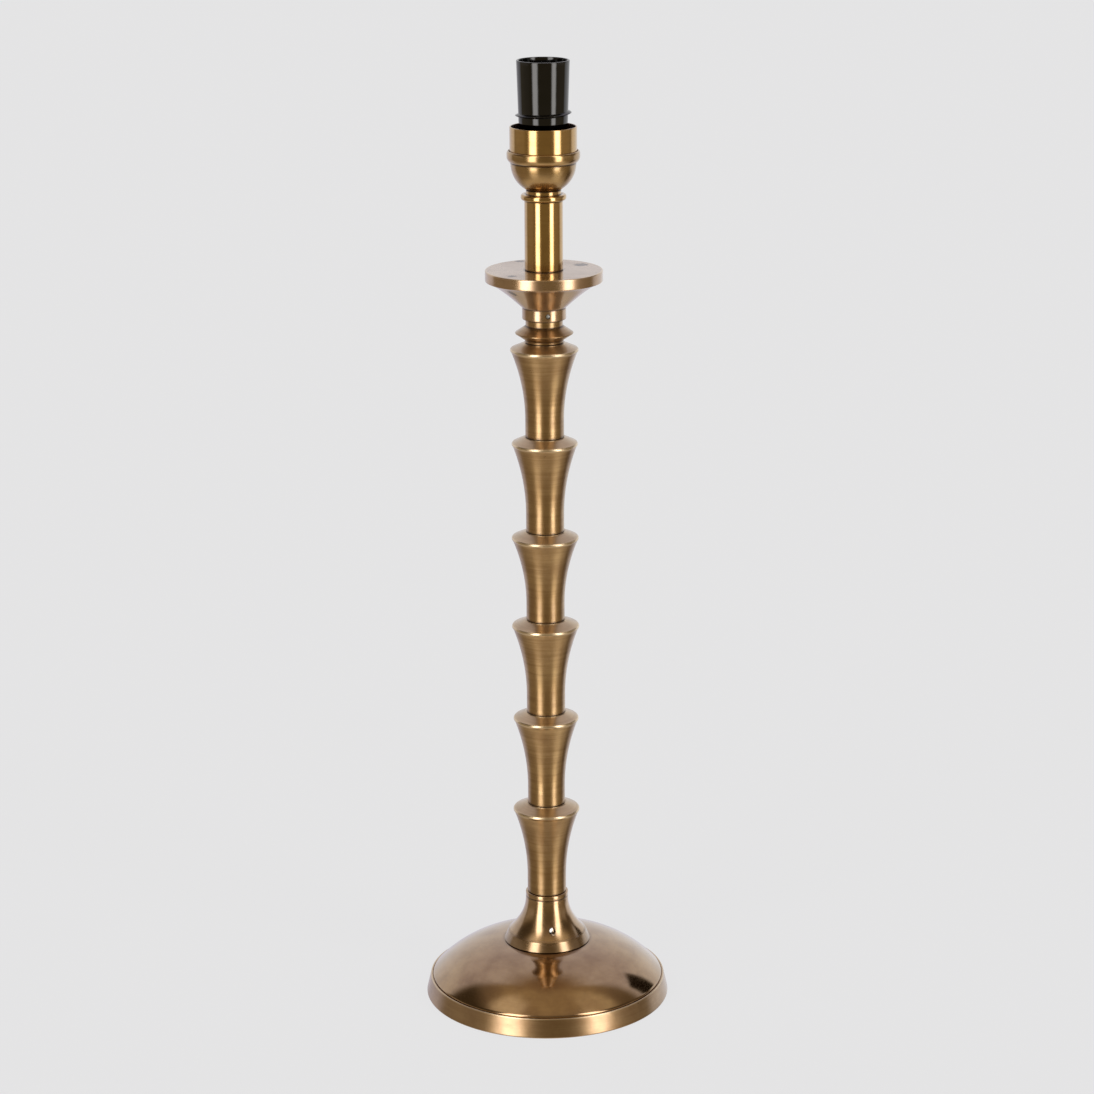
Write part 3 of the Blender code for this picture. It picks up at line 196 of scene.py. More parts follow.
def drilled(piece, place, radius, depth):
    """Cut a round hole along the local Z of a place, and leave no modifier behind."""
    mesh = bpy.data.meshes.new("drill")
    work = bmesh.new()
    bmesh.ops.create_cone(
        work, cap_ends=True, segments=SMALL_ROUND, radius1=radius, radius2=radius, depth=depth,
        matrix=place)
    work.to_mesh(mesh)
    work.free()
    drill = placed("drill", mesh)
    step = piece.modifiers.new("hole", "BOOLEAN")
    step.object = drill
    step.solver = "EXACT"
    graph = bpy.context.evaluated_depsgraph_get()
    cut = bpy.data.meshes.new_from_object(piece.evaluated_get(graph))
    piece.modifiers.clear()
    piece.data = cut
    cut.set_sharp_from_angle(angle=SHARP)
    bpy.data.objects.remove(drill)
    bpy.data.meshes.remove(mesh)
    return piece


def patina_and_painted_light(piece, law):
    """Store how dark each point is painted, 0 to 1, by patina and painted shade, or how pale, 0 to -1,
    by wear and painted highlight.

    The law takes the radius and the height of the points.
    """
    points = places(piece.data.vertices)
    amount = law(np.hypot(points[:, 0], points[:, 1]), points[:, 2])
    stored = piece.data.attributes.new("patina_wear_and_painted_light", "FLOAT", "POINT")
    stored.data.foreach_set("value", np.clip(amount, -1, 1).astype(np.float32))
    return piece


def near(value, place, reach):
    """One at a place and falling to nothing within a few reaches of it: exp(-(distance / reach)^2)."""
    return np.exp(-((value - place) / reach) ** 2)


def dress(piece, material, slot, *replaced, body="lamp", skirt=None):
    """Give a finished piece its material and its body, and hide the solids that it stands for. The slot
    is not used.

    A skirt is a second material, for the faces that lie beyond the base's groove.
    """
    piece.data.materials.clear()
    piece.data.materials.append(material)
    if skirt:
        piece.data.materials.append(skirt)
        centres = places(piece.data.polygons, "center")
        beyond = np.hypot(centres[:, 0], centres[:, 1]) > BAND_TOP_RADIUS - LIP_WIDTH
        piece.data.polygons.foreach_set("material_index", beyond.astype(np.int32))
    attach(piece, body)
    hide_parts(*replaced)


# Finishes


def linear(hex_colour):
    """Linear RGBA of an sRGB hex colour."""
    shares = [int(hex_colour[at:at + 2], 16) / 255 for at in (0, 2, 4)]
    return (*[c / 12.92 if c <= 0.04045 else ((c + 0.055) / 1.055) ** 2.4 for c in shares], 1.0)


def feed(tree, node, values=None, links=None):
    """Set a node's constants and its links, each from a socket or from a node's first live output."""
    for socket, value in (values or {}).items():
        node.inputs[socket].default_value = value
    for socket, source in (links or {}).items():
        if isinstance(source, bpy.types.Node):
            source = next(output for output in source.outputs if output.enabled)
        tree.links.new(source, node.inputs[socket])


def add(tree, kind, values=None, links=None, stops=(), **settings):
    """Add a node with its settings, its sockets' constants, its links and its ramp's stops."""
    node = tree.nodes.new(kind)
    for name, value in settings.items():
        setattr(node, name, value)
    feed(tree, node, values, links)
    for index, (place, colour) in enumerate(stops):
        elements = node.color_ramp.elements
        element = elements[index] if index < 2 else elements.new(place)
        element.position, element.color = place, colour
    return node


def new_material(name):
    """Material with its tree, its Principled node and Object coordinates."""
    made = bpy.data.materials.new(name)
    made.use_nodes = True
    tree = made.node_tree
    place = add(tree, "ShaderNodeTexCoord").outputs["Object"]
    return made, tree, tree.nodes["Principled BSDF"], place


def aged_brass(
        name, metal, film, roughness, uneven, coat, coat_roughness, line_depth, ring_share,
        film_share=0.6, spots=()):
    """Turned brass under old lacquer.

    The metal shows through a brown film that lies in clouds and in rings. Fine tool rings break
    up its highlights, and dark specks and spots of patina dot it. Corners, grooves and joints are
    darkened by patina together with painted shade, and edges are paled by wear together with
    painted highlight, as the stored value of each point says.
    """
    made, tree, shader, place = new_material(name)
    apart = add(tree, "ShaderNodeSeparateXYZ", links={"Vector": place})
    flat = add(tree, "ShaderNodeVectorMath", {1: (1, 1, 0)}, {0: place}, operation="MULTIPLY")
    reach = add(tree, "ShaderNodeVectorMath", links={0: flat}, operation="LENGTH")
    drift = add(tree, "ShaderNodeMath", {1: 0.04}, {0: apart.outputs["X"]}, operation="MULTIPLY")
    # Distance from the axis, a little of X and the height: noise on them makes tool rings
    lathe = add(
        tree, "ShaderNodeCombineXYZ", links={"X": reach, "Y": drift, "Z": apart.outputs["Z"]})
    # Noises: where each is taken, its size in mm, its detail and its roughness
    fine, broad, cloud, fleck = (
        add(
            tree, "ShaderNodeTexNoise",
            {"Scale": 1 / (size * MM), "Detail": detail, "Roughness": rough}, {"Vector": source})
        for source, size, detail, rough in (
            (lathe, 0.4, 3, 0.7), (lathe, 2.4, 4, 0.75), (place, 17, 5, 0.6),
            (place, 1.7, 3, 0.6)))
    clouds, rings, specks = (
        add(
            tree, "ShaderNodeMapRange", {"From Min": low, "From Max": high, "To Max": most},
            {"Value": source})
        for source, low, high, most in (
            (cloud, 0.38, 0.66, film_share), (broad, 0.42, 0.62, ring_share),
            (fleck, 0.71, 0.76, 0.7)))
    stored = add(tree, "ShaderNodeAttribute", attribute_name="patina_wear_and_painted_light").outputs["Fac"]
    dark = add(tree, "ShaderNodeMath", links={0: stored, 1: specks}, operation="MAXIMUM")
    for spot_x, spot_y, spot_radius in spots:
        # Patina grown in one patch: its edge follows the flecks, so it is ragged
        away = add(
            tree, "ShaderNodeVectorMath", {1: (spot_x, spot_y, 0)}, {0: flat}, operation="DISTANCE")
        ragged = add(
            tree, "ShaderNodeMath", {1: 5.5 * MM, 2: -2.7 * MM}, {0: fleck},
            operation="MULTIPLY_ADD")
        edge = add(tree, "ShaderNodeMath", links={0: away, 1: ragged}, operation="ADD")
        patch = add(
            tree, "ShaderNodeMapRange",
            {"From Min": spot_radius * 0.7, "From Max": spot_radius, "To Min": 0.9, "To Max": 0.0},
            {"Value": edge})
        dark = add(tree, "ShaderNodeMath", links={0: dark, 1: patch}, operation="MAXIMUM")
    # Edges paled by wear, together with painted highlight on rims, the base's lip and the shoulders'
    # tops
    rubbed = add(tree, "ShaderNodeMath", {1: -1}, {0: stored}, operation="MULTIPLY", use_clamp=True)
    colour = add(
        tree, "ShaderNodeMix", {6: linear(metal), 7: linear(film)}, {0: clouds}, data_type="RGBA")
    # Dark brown laid where patina and painted shade lie, pale where wear and painted highlight lie
    for shade, share in ((film, rings), ("3A1D0C", dark), ("EED9B6", rubbed)):
        colour = add(
            tree, "ShaderNodeMix", {7: linear(shade)}, {0: share, 6: colour}, data_type="RGBA")
    worn = add(
        tree, "ShaderNodeMapRange",
        {"From Min": 0.3, "From Max": 0.7, "To Min": roughness - uneven, "To Max": roughness + uneven},
        {"Value": cloud})
    lined = add(tree, "ShaderNodeMath", {1: uneven}, {0: fine, 2: worn}, operation="MULTIPLY_ADD")
    dull = add(tree, "ShaderNodeMath", {1: 0.3}, {0: dark, 2: lined}, operation="MULTIPLY_ADD")
    tool = add(tree, "ShaderNodeBump", {"Distance": line_depth}, {"Height": fine})
    swell = add(
        tree, "ShaderNodeTexNoise", {"Scale": 1 / (11 * MM), "Detail": 1}, {"Vector": place})
    uneven_face = add(
        tree, "ShaderNodeBump", {"Distance": 0.05 * MM}, {"Height": swell, "Normal": tool})
    round_axis = add(tree, "ShaderNodeTangent", direction_type="RADIAL", axis="Z")
    feed(
        tree, shader,
        {"Metallic": 1.0, "Anisotropic": 0.5, "Anisotropic Rotation": 0.25, "Coat Weight": coat,
         "Coat Roughness": coat_roughness},
        {"Base Color": colour, "Roughness": dull, "Normal": uneven_face, "Tangent": round_axis})
    return made


def black_phenolic():
    """Moulded phenolic resin: near black, glossy, with faint flow waves, dust and rubbed spots."""
    made, tree, shader, place = new_material("black_phenolic")
    cloud, dust, waves = (
        add(
            tree, "ShaderNodeTexNoise", {"Scale": 1 / (size * MM), "Detail": detail},
            {"Vector": place})
        for size, detail in ((7, 4), (0.5, 2), (6, 2)))
    flow = add(tree, "ShaderNodeMapRange", {"From Min": 0.4, "From Max": 0.7}, {"Value": cloud})
    colour = add(
        tree, "ShaderNodeMix", {6: linear("020202"), 7: linear("060505")}, {0: flow},
        data_type="RGBA")
    rubbed = add(
        tree, "ShaderNodeMapRange",
        {"From Min": 0.58, "From Max": 0.75, "To Min": 0.07, "To Max": 0.15}, {"Value": dust})
    bump = add(tree, "ShaderNodeBump", {"Distance": 0.03 * MM}, {"Height": waves})
    feed(tree, shader, {"IOR": 1.56}, {"Base Color": colour, "Roughness": rubbed, "Normal": bump})
    return made


def bright_brass():
    """Stamped and turned contact brass, cleaner than the outside, dulled unevenly by heat."""
    made, tree, shader, place = new_material("bright_brass")
    cloud = add(
        tree, "ShaderNodeTexNoise", {"Scale": 1 / (3 * MM), "Detail": 4}, {"Vector": place})
    heat = add(tree, "ShaderNodeMapRange", {"From Min": 0.35, "From Max": 0.7}, {"Value": cloud})
    colour = add(
        tree, "ShaderNodeMix", {6: linear("E0BC78"), 7: linear("A5793C")}, {0: heat},
        data_type="RGBA")
    dull = add(tree, "ShaderNodeMapRange", {"To Min": 0.22, "To Max": 0.44}, {"Value": heat})
    feed(tree, shader, {"Metallic": 1.0}, {"Base Color": colour, "Roughness": dull})
    return made


def zinc_steel():
    """Zinc-plated steel: pale grey, faintly blue, with a crystalline mottle."""
    made, tree, shader, place = new_material("zinc_steel")
    spangle = add(tree, "ShaderNodeTexVoronoi", {"Scale": 1 / (1.2 * MM)}, {"Vector": place})
    shade = add(tree, "ShaderNodeSeparateColor", links={"Color": spangle.outputs["Color"]})
    colour = add(
        tree, "ShaderNodeMix", {6: linear("9EA1A3"), 7: linear("C4C6C6")},
        {0: shade.outputs["Red"]}, data_type="RGBA")
    dull = add(
        tree, "ShaderNodeMapRange", {"To Min": 0.24, "To Max": 0.42},
        {"Value": shade.outputs["Green"]})
    feed(tree, shader, {"Metallic": 1.0}, {"Base Color": colour, "Roughness": dull})
    return made


def cast_iron():
    """Sand-cast iron: dark grey, pitted and dull."""
    made, tree, shader, place = new_material("cast_iron")
    grit = add(
        tree, "ShaderNodeTexNoise", {"Scale": 1 / (0.8 * MM), "Detail": 5, "Roughness": 0.7},
        {"Vector": place})
    colour = add(
        tree, "ShaderNodeMix", {6: linear("2B2927"), 7: linear("4A4643")}, {0: grit},
        data_type="RGBA")
    bump = add(tree, "ShaderNodeBump", {"Distance": 0.3 * MM}, {"Height": grit})
    feed(tree, shader, {"Metallic": 0.6, "Roughness": 0.72}, {"Base Color": colour, "Normal": bump})
    return made


def green_felt():
    """Pressed wool felt: matted fibres, uneven dark green, with a soft sheen."""
    made, tree, shader, place = new_material("green_felt")
    fibre = add(
        tree, "ShaderNodeTexNoise", {"Scale": 1 / (0.3 * MM), "Detail": 4, "Roughness": 0.8},
        {"Vector": place})
    colour = add(
        tree, "ShaderNodeMix", {6: linear("1E2B20"), 7: linear("3F5240")}, {0: fibre},
        data_type="RGBA")
    cloud = add(
        tree, "ShaderNodeTexNoise", {"Scale": 1 / (6 * MM), "Detail": 2}, {"Vector": place})
    worn = add(
        tree, "ShaderNodeMapRange", {"From Min": 0.4, "From Max": 0.7, "To Max": 0.4},
        {"Value": cloud})
    patchy = add(
        tree, "ShaderNodeMix", {7: linear("2A3528")}, {0: worn, 6: colour}, data_type="RGBA")
    bump = add(tree, "ShaderNodeBump", {"Distance": 0.2 * MM}, {"Height": fibre})
    feed(tree, shader, {"Roughness": 0.95, "Sheen Weight": 0.3}, {"Base Color": patchy, "Normal": bump})
    return made


def glazed_ceramic():
    """Glazed steatite: warm white, glossy, clouded, with brown pinholes."""
    made, tree, shader, place = new_material("glazed_ceramic")
    cloud, pores = (
        add(
            tree, "ShaderNodeTexNoise", {"Scale": 1 / (size * MM), "Detail": detail},
            {"Vector": place})
        for size, detail in ((5, 3), (0.7, 1)))
    stained = add(
        tree, "ShaderNodeMapRange", {"From Min": 0.4, "From Max": 0.75}, {"Value": cloud})
    glaze = add(
        tree, "ShaderNodeMix", {6: linear("E6E1D4"), 7: linear("CFC4AE")}, {0: stained},
        data_type="RGBA")
    pinholes = add(
        tree, "ShaderNodeMapRange", {"From Min": 0.72, "From Max": 0.76, "To Max": 0.8},
        {"Value": pores})
    colour = add(
        tree, "ShaderNodeMix", {7: linear("6B5F4F")}, {0: pinholes, 6: glaze}, data_type="RGBA")
    feed(tree, shader, {"Roughness": 0.22}, {"Base Color": colour})
    return made


# Patches of dark patina on the drip disc: x, y and radius
DISC_SPOTS = (
    (23.1 * MM, 15.6 * MM, 5.4 * MM),
    (-15.1 * MM, 28.2 * MM, 3.6 * MM),
    (-19.6 * MM, -21.8 * MM, 3.2 * MM),
)

dome_brass = aged_brass(
    "dome_brass", "B5966F", "8D6B48", roughness=0.11, uneven=0.04, coat=1.0, coat_roughness=0.03,
    line_depth=0.003 * MM, ring_share=0.12)
band_brass = aged_brass(
    "band_brass", "B39570", "8F6E4A", roughness=0.31, uneven=0.05, coat=0.7, coat_roughness=0.13,
    line_depth=0.008 * MM, ring_share=0.3)
column_brass = aged_brass(
    "column_brass", "B8986A", "8F6D44", roughness=0.31, uneven=0.07, coat=0.7,
    coat_roughness=0.16, line_depth=0.012 * MM, ring_share=0.55)
disc_brass = aged_brass(
    "disc_brass", "C4A480", "A6866A", roughness=0.26, uneven=0.05, coat=1.0, coat_roughness=0.06,
    line_depth=0.003 * MM, ring_share=0.15, spots=DISC_SPOTS)
tube_brass = aged_brass(
    "tube_brass", "CDA86C", "A37B42", roughness=0.15, uneven=0.04, coat=0.8, coat_roughness=0.06,
    line_depth=0.004 * MM, ring_share=0.15, film_share=0.4)
cup_brass = aged_brass(
    "cup_brass", "BC9A68", "90703F", roughness=0.22, uneven=0.06, coat=0.8, coat_roughness=0.10,
    line_depth=0.008 * MM, ring_share=0.3)
ferrule_brass = aged_brass(
    "ferrule_brass", "C0A078", "90704C", roughness=0.19, uneven=0.04, coat=1.0,
    coat_roughness=0.05, line_depth=0.005 * MM, ring_share=0.2)
phenolic = black_phenolic()
contact_brass = bright_brass()
steel = zinc_steel()
iron = cast_iron()
felt = green_felt()
ceramic = glazed_ceramic()


# Foot of the lamp


BAND_HEIGHT = 11.7 * MM
BAND_TOP_RADIUS = 76.9 * MM
LIP_WIDTH = 1.2 * MM
LIP_RISE = 0.7 * MM
GROOVE_WIDTH = 0.5 * MM
GROOVE_DEPTH = 0.3 * MM
DOME_EDGE_RISE = 1.4 * MM
DOME_RISE = 24.36 * MM
DOME_POWER = 3.2
BASE_WALL = 1.2 * MM


def dome_height(radius, foot_radius, foot_height):
    """Top of the dome: its rise times one minus the 3.2th power of the share of the foot radius."""
    return foot_height + DOME_RISE * (1 - (radius / foot_radius) ** DOME_POWER)


def make_base_dome():
    """Dome, groove, raised lip and slanted band of the spun base."""
    bottom, _, wide = span("base_dome")
    band_top = bottom + BAND_HEIGHT
    foot_radius = BAND_TOP_RADIUS - LIP_WIDTH - GROOVE_WIDTH
    foot_height = band_top + DOME_EDGE_RISE
    groove_floor = band_top - GROOVE_DEPTH
    radius = np.linspace(ROD_HOLE, foot_radius - 0.25 * MM, 60)
    dome = np.stack([radius, dome_height(radius, foot_radius, foot_height)], axis=1)
    inner_radius = np.linspace(foot_radius - BASE_WALL, ROD_HOLE, 24)
    inside = np.stack(
        [inner_radius, dome_height(inner_radius, foot_radius, foot_height) - BASE_WALL], axis=1)
    rim = rounded([
        dome[-1],
        (foot_radius, foot_height - 0.25 * MM, 0.5 * MM),
        (foot_radius, groove_floor, 0.25 * MM),
        (foot_radius + GROOVE_WIDTH, groove_floor, 0.25 * MM),
        (foot_radius + GROOVE_WIDTH, band_top + LIP_RISE - 0.15 * MM, 0.3 * MM),
        (BAND_TOP_RADIUS - 0.25 * MM, band_top + LIP_RISE, 0.35 * MM),
        (BAND_TOP_RADIUS + 0.05 * MM, band_top - 0.2 * MM, 0.4 * MM),
        (wide, bottom + 0.7 * MM, 0.8 * MM),
        (wide - 0.5 * MM, bottom, 0.5 * MM),
        (wide - BASE_WALL - 0.1 * MM, bottom),
        (BAND_TOP_RADIUS - BASE_WALL, groove_floor - BASE_WALL),
        inside[0],
    ])
    outline = divided(np.concatenate([dome[:-1], rim[:-1], inside]), WIDE_STEP)
    made = turned("base_dome_fine", outline, WIDE_ROUND)
    bush_low, bush_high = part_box("cord_bush")
    bush_height = (bush_low.z + bush_high.z) / 2
    bush_hole = (bush_high.z - bush_low.z) / 2 - 0.6 * MM + GAP
    across = Matrix.Translation((0, bush_high.y, bush_height)) @ Matrix.Rotation(math.pi / 2, 4, "X")
    drilled(made, across, bush_hole, depth=12 * MM)
    _, _, ferrule_foot = span("foot_ferrule")
    # Painted shade with patina in the groove and round the ferrule's foot; the lip's top paled by wear
    # and painted highlight
    return patina_and_painted_light(made, lambda r, z: (
        0.3 * near(r, foot_radius + GROOVE_WIDTH / 2, 0.3 * MM) * (z < band_top)
        + 0.7 * near(r, ferrule_foot, 0.7 * MM)
        - 0.6 * (r > BAND_TOP_RADIUS - LIP_WIDTH) * (z > band_top - 0.1 * MM)))


def make_ferrule():
    """Trumpet whose radius grows with the 2.2th power of the depth below its bead."""
    bottom, top, foot = span("foot_ferrule")
    band_top, band_radius = bottom + 5.9 * MM, 25.4 * MM
    neck, bead_groove = 13.85 * MM, 0.25 * MM
    flare_top = top - 3.4 * MM
    share = np.linspace(0, 1, 40)
    flare = np.stack([
        neck + (band_radius - neck) * share ** 2.2,
        flare_top + (band_top - flare_top) * share], axis=1)
    upper = rounded([
        (SPIGOT_SOCKET, top),
        (neck, top, 0.7 * MM),
        (neck, flare_top + 0.55 * MM, 0.6 * MM),
        (neck - bead_groove, flare_top + 0.25 * MM, 0.1 * MM),
        flare[1],
    ])
    lower = rounded([
        flare[-2],
        (band_radius, band_top, 0.35 * MM),
        (foot, bottom + 0.2 * MM, 0.4 * MM),
        (foot - 0.4 * MM, bottom, 0.2 * MM),
        (foot - 3.2 * MM, bottom + 0.9 * MM),
        (band_radius - 5 * MM, band_top + 2 * MM),
        (ROD_HOLE, band_top + 3 * MM),
        (ROD_HOLE, top - SPIGOT_LENGTH - GAP),
        (SPIGOT_SOCKET, top - SPIGOT_LENGTH - GAP),
    ])
    made = turned("foot_ferrule_fine", np.concatenate([upper[:-1], flare[1:-2], lower]))
    height, outer, inner = grub_reach("ferrule_grub")
    drilled(made, grub_place(outer, height), radius=2.2 * MM, depth=2 * (outer - inner))
    # Darker by patina and painted shade in the bead's groove, at the foot and over the band's edge
    return patina_and_painted_light(made, lambda r, z: (
        near(z, flare_top + 0.25 * MM, 0.25 * MM) + 0.8 * near(z, bottom, 0.4 * MM)
        + 0.5 * near(z, band_top + 0.3 * MM, 0.4 * MM)))


# Column


SHOULDER_HEIGHT = 3.7 * MM
COLUMN_RADIUS = 12.0 * MM
COLUMN_RADIUS_SHARES = (1.050, 1.000, 1.030, 1.020, 1.010, 1.020)


def make_segment(number):
    """Segment: straight foot, flare with the square of its height, rounded rim, low shoulder."""
    low, top, rim = span("column_segment_%d" % number)
    bottom = low + SPIGOT_LENGTH
    foot_radius = COLUMN_RADIUS * COLUMN_RADIUS_SHARES[number - 1]
    shoulder = 13.0 * MM
    rim_top = top - SHOULDER_HEIGHT
    rim_bottom = rim_top - 2.0 * MM
    flare_low = rim_bottom - (rim_bottom - bottom) * 0.80
    share = np.linspace(1, 0, 44)
    under = rim - 0.6 * MM
    flare = np.stack([
        foot_radius + (under - foot_radius) * share ** 2,
        flare_low + (rim_bottom - flare_low) * share], axis=1)
    head = rounded([
        (SPIGOT_SOCKET, top),
        (shoulder, top, 0.15 * MM),
        (shoulder + 0.25 * MM, top - 0.35 * MM, 0.3 * MM),
        (rim - 0.5 * MM, rim_top + 0.1 * MM, 0.5 * MM),
        (rim, rim_top - 0.6 * MM, 0.8 * MM),
        (rim, rim_bottom + 0.5 * MM, 0.8 * MM),
        flare[0],
        flare[2],
    ])
    foot = np.array([
        (foot_radius, bottom + 1.5 * MM),
        (foot_radius, bottom + 0.1 * MM),
        (foot_radius - 0.1 * MM, bottom),
        (SPIGOT_RADIUS, bottom),
        (SPIGOT_RADIUS, low),
        (ROD_HOLE, low),
        (ROD_HOLE, top - SPIGOT_LENGTH - GAP),
        (SPIGOT_SOCKET, top - SPIGOT_LENGTH - GAP),
    ])
    outline = divided(np.concatenate([head[:-1], flare[2:], foot]), WIDE_STEP)
    made = turned("column_segment_%d_fine" % number, outline)
    # Darker at the foot by patina and painted shade; the rim paled by wear and painted highlight, the
    # shoulder's top by painted light from above
    return patina_and_painted_light(made, lambda r, z: (
        0.6 * near(z, bottom, 0.35 * MM) - 0.7 * near(r, rim, 0.5 * MM)
        - 0.3 * (z > rim_top - 0.5 * MM)))


def make_cone_ring():
    """Ring with a waist edge between two cones, its spigot below and its tenon above."""
    low, tenon_top, wide = span("cone_ring")
    bottom = low + SPIGOT_LENGTH
    top = tenon_top - 5.5 * MM
    neck, tenon, column = 11.65 * MM, 9.5 * MM, COLUMN_RADIUS
    edge_low = bottom + 5.7 * MM
    edge_top = edge_low + 0.4 * MM
    upper = edge_top + 4.5 * MM
    outline = rounded([
        (tenon, tenon_top),
        (tenon, top),
        (neck, top, 0.15 * MM),
        (neck, upper, 0.4 * MM),
        (wide, edge_top, 0.35 * MM),
        (wide, edge_low, 0.35 * MM),
        (column + 0.3 * MM, bottom + 1.8 * MM, 0.4 * MM),
        (column, bottom + 0.1 * MM),
        (column - 0.1 * MM, bottom),
        (SPIGOT_RADIUS, bottom),
        (SPIGOT_RADIUS, low),
        (ROD_HOLE, low),
        (ROD_HOLE, tenon_top),
    ])
    made = turned("cone_ring_fine", divided(outline, STEP))
    # Darker by patina and painted shade in its corners and at its foot
    return patina_and_painted_light(made, lambda r, z: (
        0.9 * near(z, bottom, 0.5 * MM) + 0.7 * near(z, bottom + 1.8 * MM, 0.5 * MM)
        + 0.8 * near(z, upper, 0.5 * MM) + 0.8 * near(z, top, 0.4 * MM)))


def make_drip_disc():
    """Disc on an arched cone: what is left of the cone's height is the 1.24th power of its width's."""
    low, high, wide = span("drip_disc")
    top = high - 3.0 * MM
    collar_top = low + 7.3 * MM
    rim_bottom = top - 7.0 * MM
    collar, post = 13.8 * MM, 10.25 * MM
    share = np.linspace(1, 0, 30)[1:-1]
    cone = np.stack([
        collar + (wide - 1.0 * MM - collar) * share,
        collar_top + (rim_bottom - collar_top) * (1 - (1 - share) ** 1.24)], axis=1)
    rim = rounded([
        (post, high),
        (post, top),
        (wide, top, 0.7 * MM),
        (wide, rim_bottom + 0.1 * MM, 0.7 * MM),
        (wide - 1.2 * MM, rim_bottom, 0.4 * MM),
        cone[0],
    ])
    foot = rounded([
        cone[-1],
        (collar, collar_top, 0.3 * MM),
        (collar, low, 0.5 * MM),
        (9.8 * MM, low),
        (9.8 * MM, low + 5.5 * MM),
        (ROD_HOLE, low + 5.5 * MM),
        (ROD_HOLE, high),
    ])
    outline = divided(np.concatenate([rim[:-1], cone[1:-1], foot]), STEP)
    made = turned("drip_disc_fine", outline, WIDE_ROUND)
    height, outer, inner = grub_reach("collar_grub")
    drilled(made, grub_place(outer, height), radius=1.6 * MM, depth=2 * (outer - inner))
    # Darker by patina and painted shade on the top close round the tube, at the collar and at the foot;
    # the rim's top edge paled by wear and painted highlight
    return patina_and_painted_light(made, lambda r, z: (
        0.8 * near(r, 12.1 * MM, 0.5 * MM) * (z > rim_bottom) + 0.8 * near(z, collar_top, 0.5 * MM)
        + 0.8 * near(z, low, 0.4 * MM) - 0.6 * near(z, top, 0.5 * MM) * (r > wide - MM)))


def make_upper_tube():
    """Plain tube with its edges broken."""
    low, high, wide = span("upper_tube")
    inner = wide - 1.4 * MM
    outline = rounded([
        (inner, high), (wide, high, 0.2 * MM), (wide, low, 0.2 * MM), (inner, low)])
    made = turned("upper_tube_fine", divided(outline, STEP))
    # Darker at both ends, where it meets other parts, by patina and painted shade
    return patina_and_painted_light(made, lambda r, z: 0.9 * near(z, low, 0.4 * MM) + 0.7 * near(z, high, 0.5 * MM))


def make_neck_ring():
    """Rounded flange on the tube with the neck above it."""
    low, top, wide = span("neck_ring")
    bottom = low + 3.0 * MM
    flange_top = bottom + 3.6 * MM
    post, neck = 10.25 * MM, 10.95 * MM
    outline = rounded([
        (neck, top),
        (neck, flange_top, 0.25 * MM),
        (wide, flange_top, 1.3 * MM),
        (wide, bottom, 1.3 * MM),
        (post, bottom),
        (post, low),
        (ROD_HOLE, low),
        (ROD_HOLE, top),
    ], steps=8)
    made = turned("neck_ring_fine", divided(outline, FINE_STEP))
    # Darker by patina and painted shade at the top, in the corner over the flange and at the bottom
    return patina_and_painted_light(made, lambda r, z: (
        0.9 * near(z, top, 0.5 * MM) + 0.9 * near(z, flange_top, 0.5 * MM) * (r < neck + MM)
        + 0.8 * near(z, bottom, 0.3 * MM)))


# Cup round the lampholder


def bowl_side(radius, floor_radius, top, depth, count):
    """Side of the bowl: a squared ellipse of exponent 2.1 from its rim down to its floor."""
    power = 2 / 2.1
    last = math.acos((floor_radius / radius) ** (1 / power))
    angle = np.linspace(0, last, count)
    drop = np.sin(angle) ** power / math.sin(last) ** power
    return np.stack([radius * np.cos(angle) ** power, top - depth * drop], axis=1)


def make_cup():
    """Spun bowl, a quarter of a squared ellipse, with its flat floor on the neck ring."""
    low, top, wide = span("holder_cup")
    wall, floor = 1.0 * MM, 10.8 * MM
    outside = bowl_side(wide, floor, top, top - low, 40)
    inside = bowl_side(wide - wall, floor - wall, top, top - low - wall, 24)
    outline = np.concatenate([
        outside, [(ROD_HOLE, low), (ROD_HOLE, low + wall)], inside[::-1]])
    made = turned("holder_cup_fine", outline)
    # Darker at the rim and the floor by patina and painted shade
    return patina_and_painted_light(made, lambda r, z: (
        0.9 * near(z, top, 0.6 * MM) + 0.7 * near(z, low, 0.6 * MM)))


def make_bead():
    """Bead: a groove by the cylinder, a quarter ellipse over its top and a long taper below.

    Below its widest place the radius falls short of it by the 2.2th power of the depth.
    """
    low, high, wide = span("cup_bead")
    seat_radius, inner, foot = 21.15 * MM, 19.35 * MM, 20.9 * MM
    groove, round_reach, round_drop, taper = 1.0 * MM, 1.15 * MM, 1.9 * MM, 3.6 * MM
    angle = np.linspace(math.pi / 2, 0, 12)
    over = np.stack([
        wide - round_reach + round_reach * np.cos(angle),
        high - round_drop + round_drop * np.sin(angle)], axis=1)
    share = np.linspace(0, 1, 14)
    below = np.stack([wide - (wide - foot) * share ** 2.2, low + taper * (1 - share)], axis=1)
    seat = high - 2.4 * MM
    outline = np.concatenate([
        [(seat_radius, high - groove), (seat_radius + 0.15 * MM, high - 0.6 * groove)], over, below,
        [(inner, low), (inner, seat), (seat_radius, seat)]])
    made = turned("cup_bead_fine", outline)
    # Darker in the groove and at the foot by patina and painted shade
    return patina_and_painted_light(made, lambda r, z: (
        near(z, high - groove, 0.5 * MM) * (r < seat_radius + 0.4 * MM) + near(z, low, 0.35 * MM)))


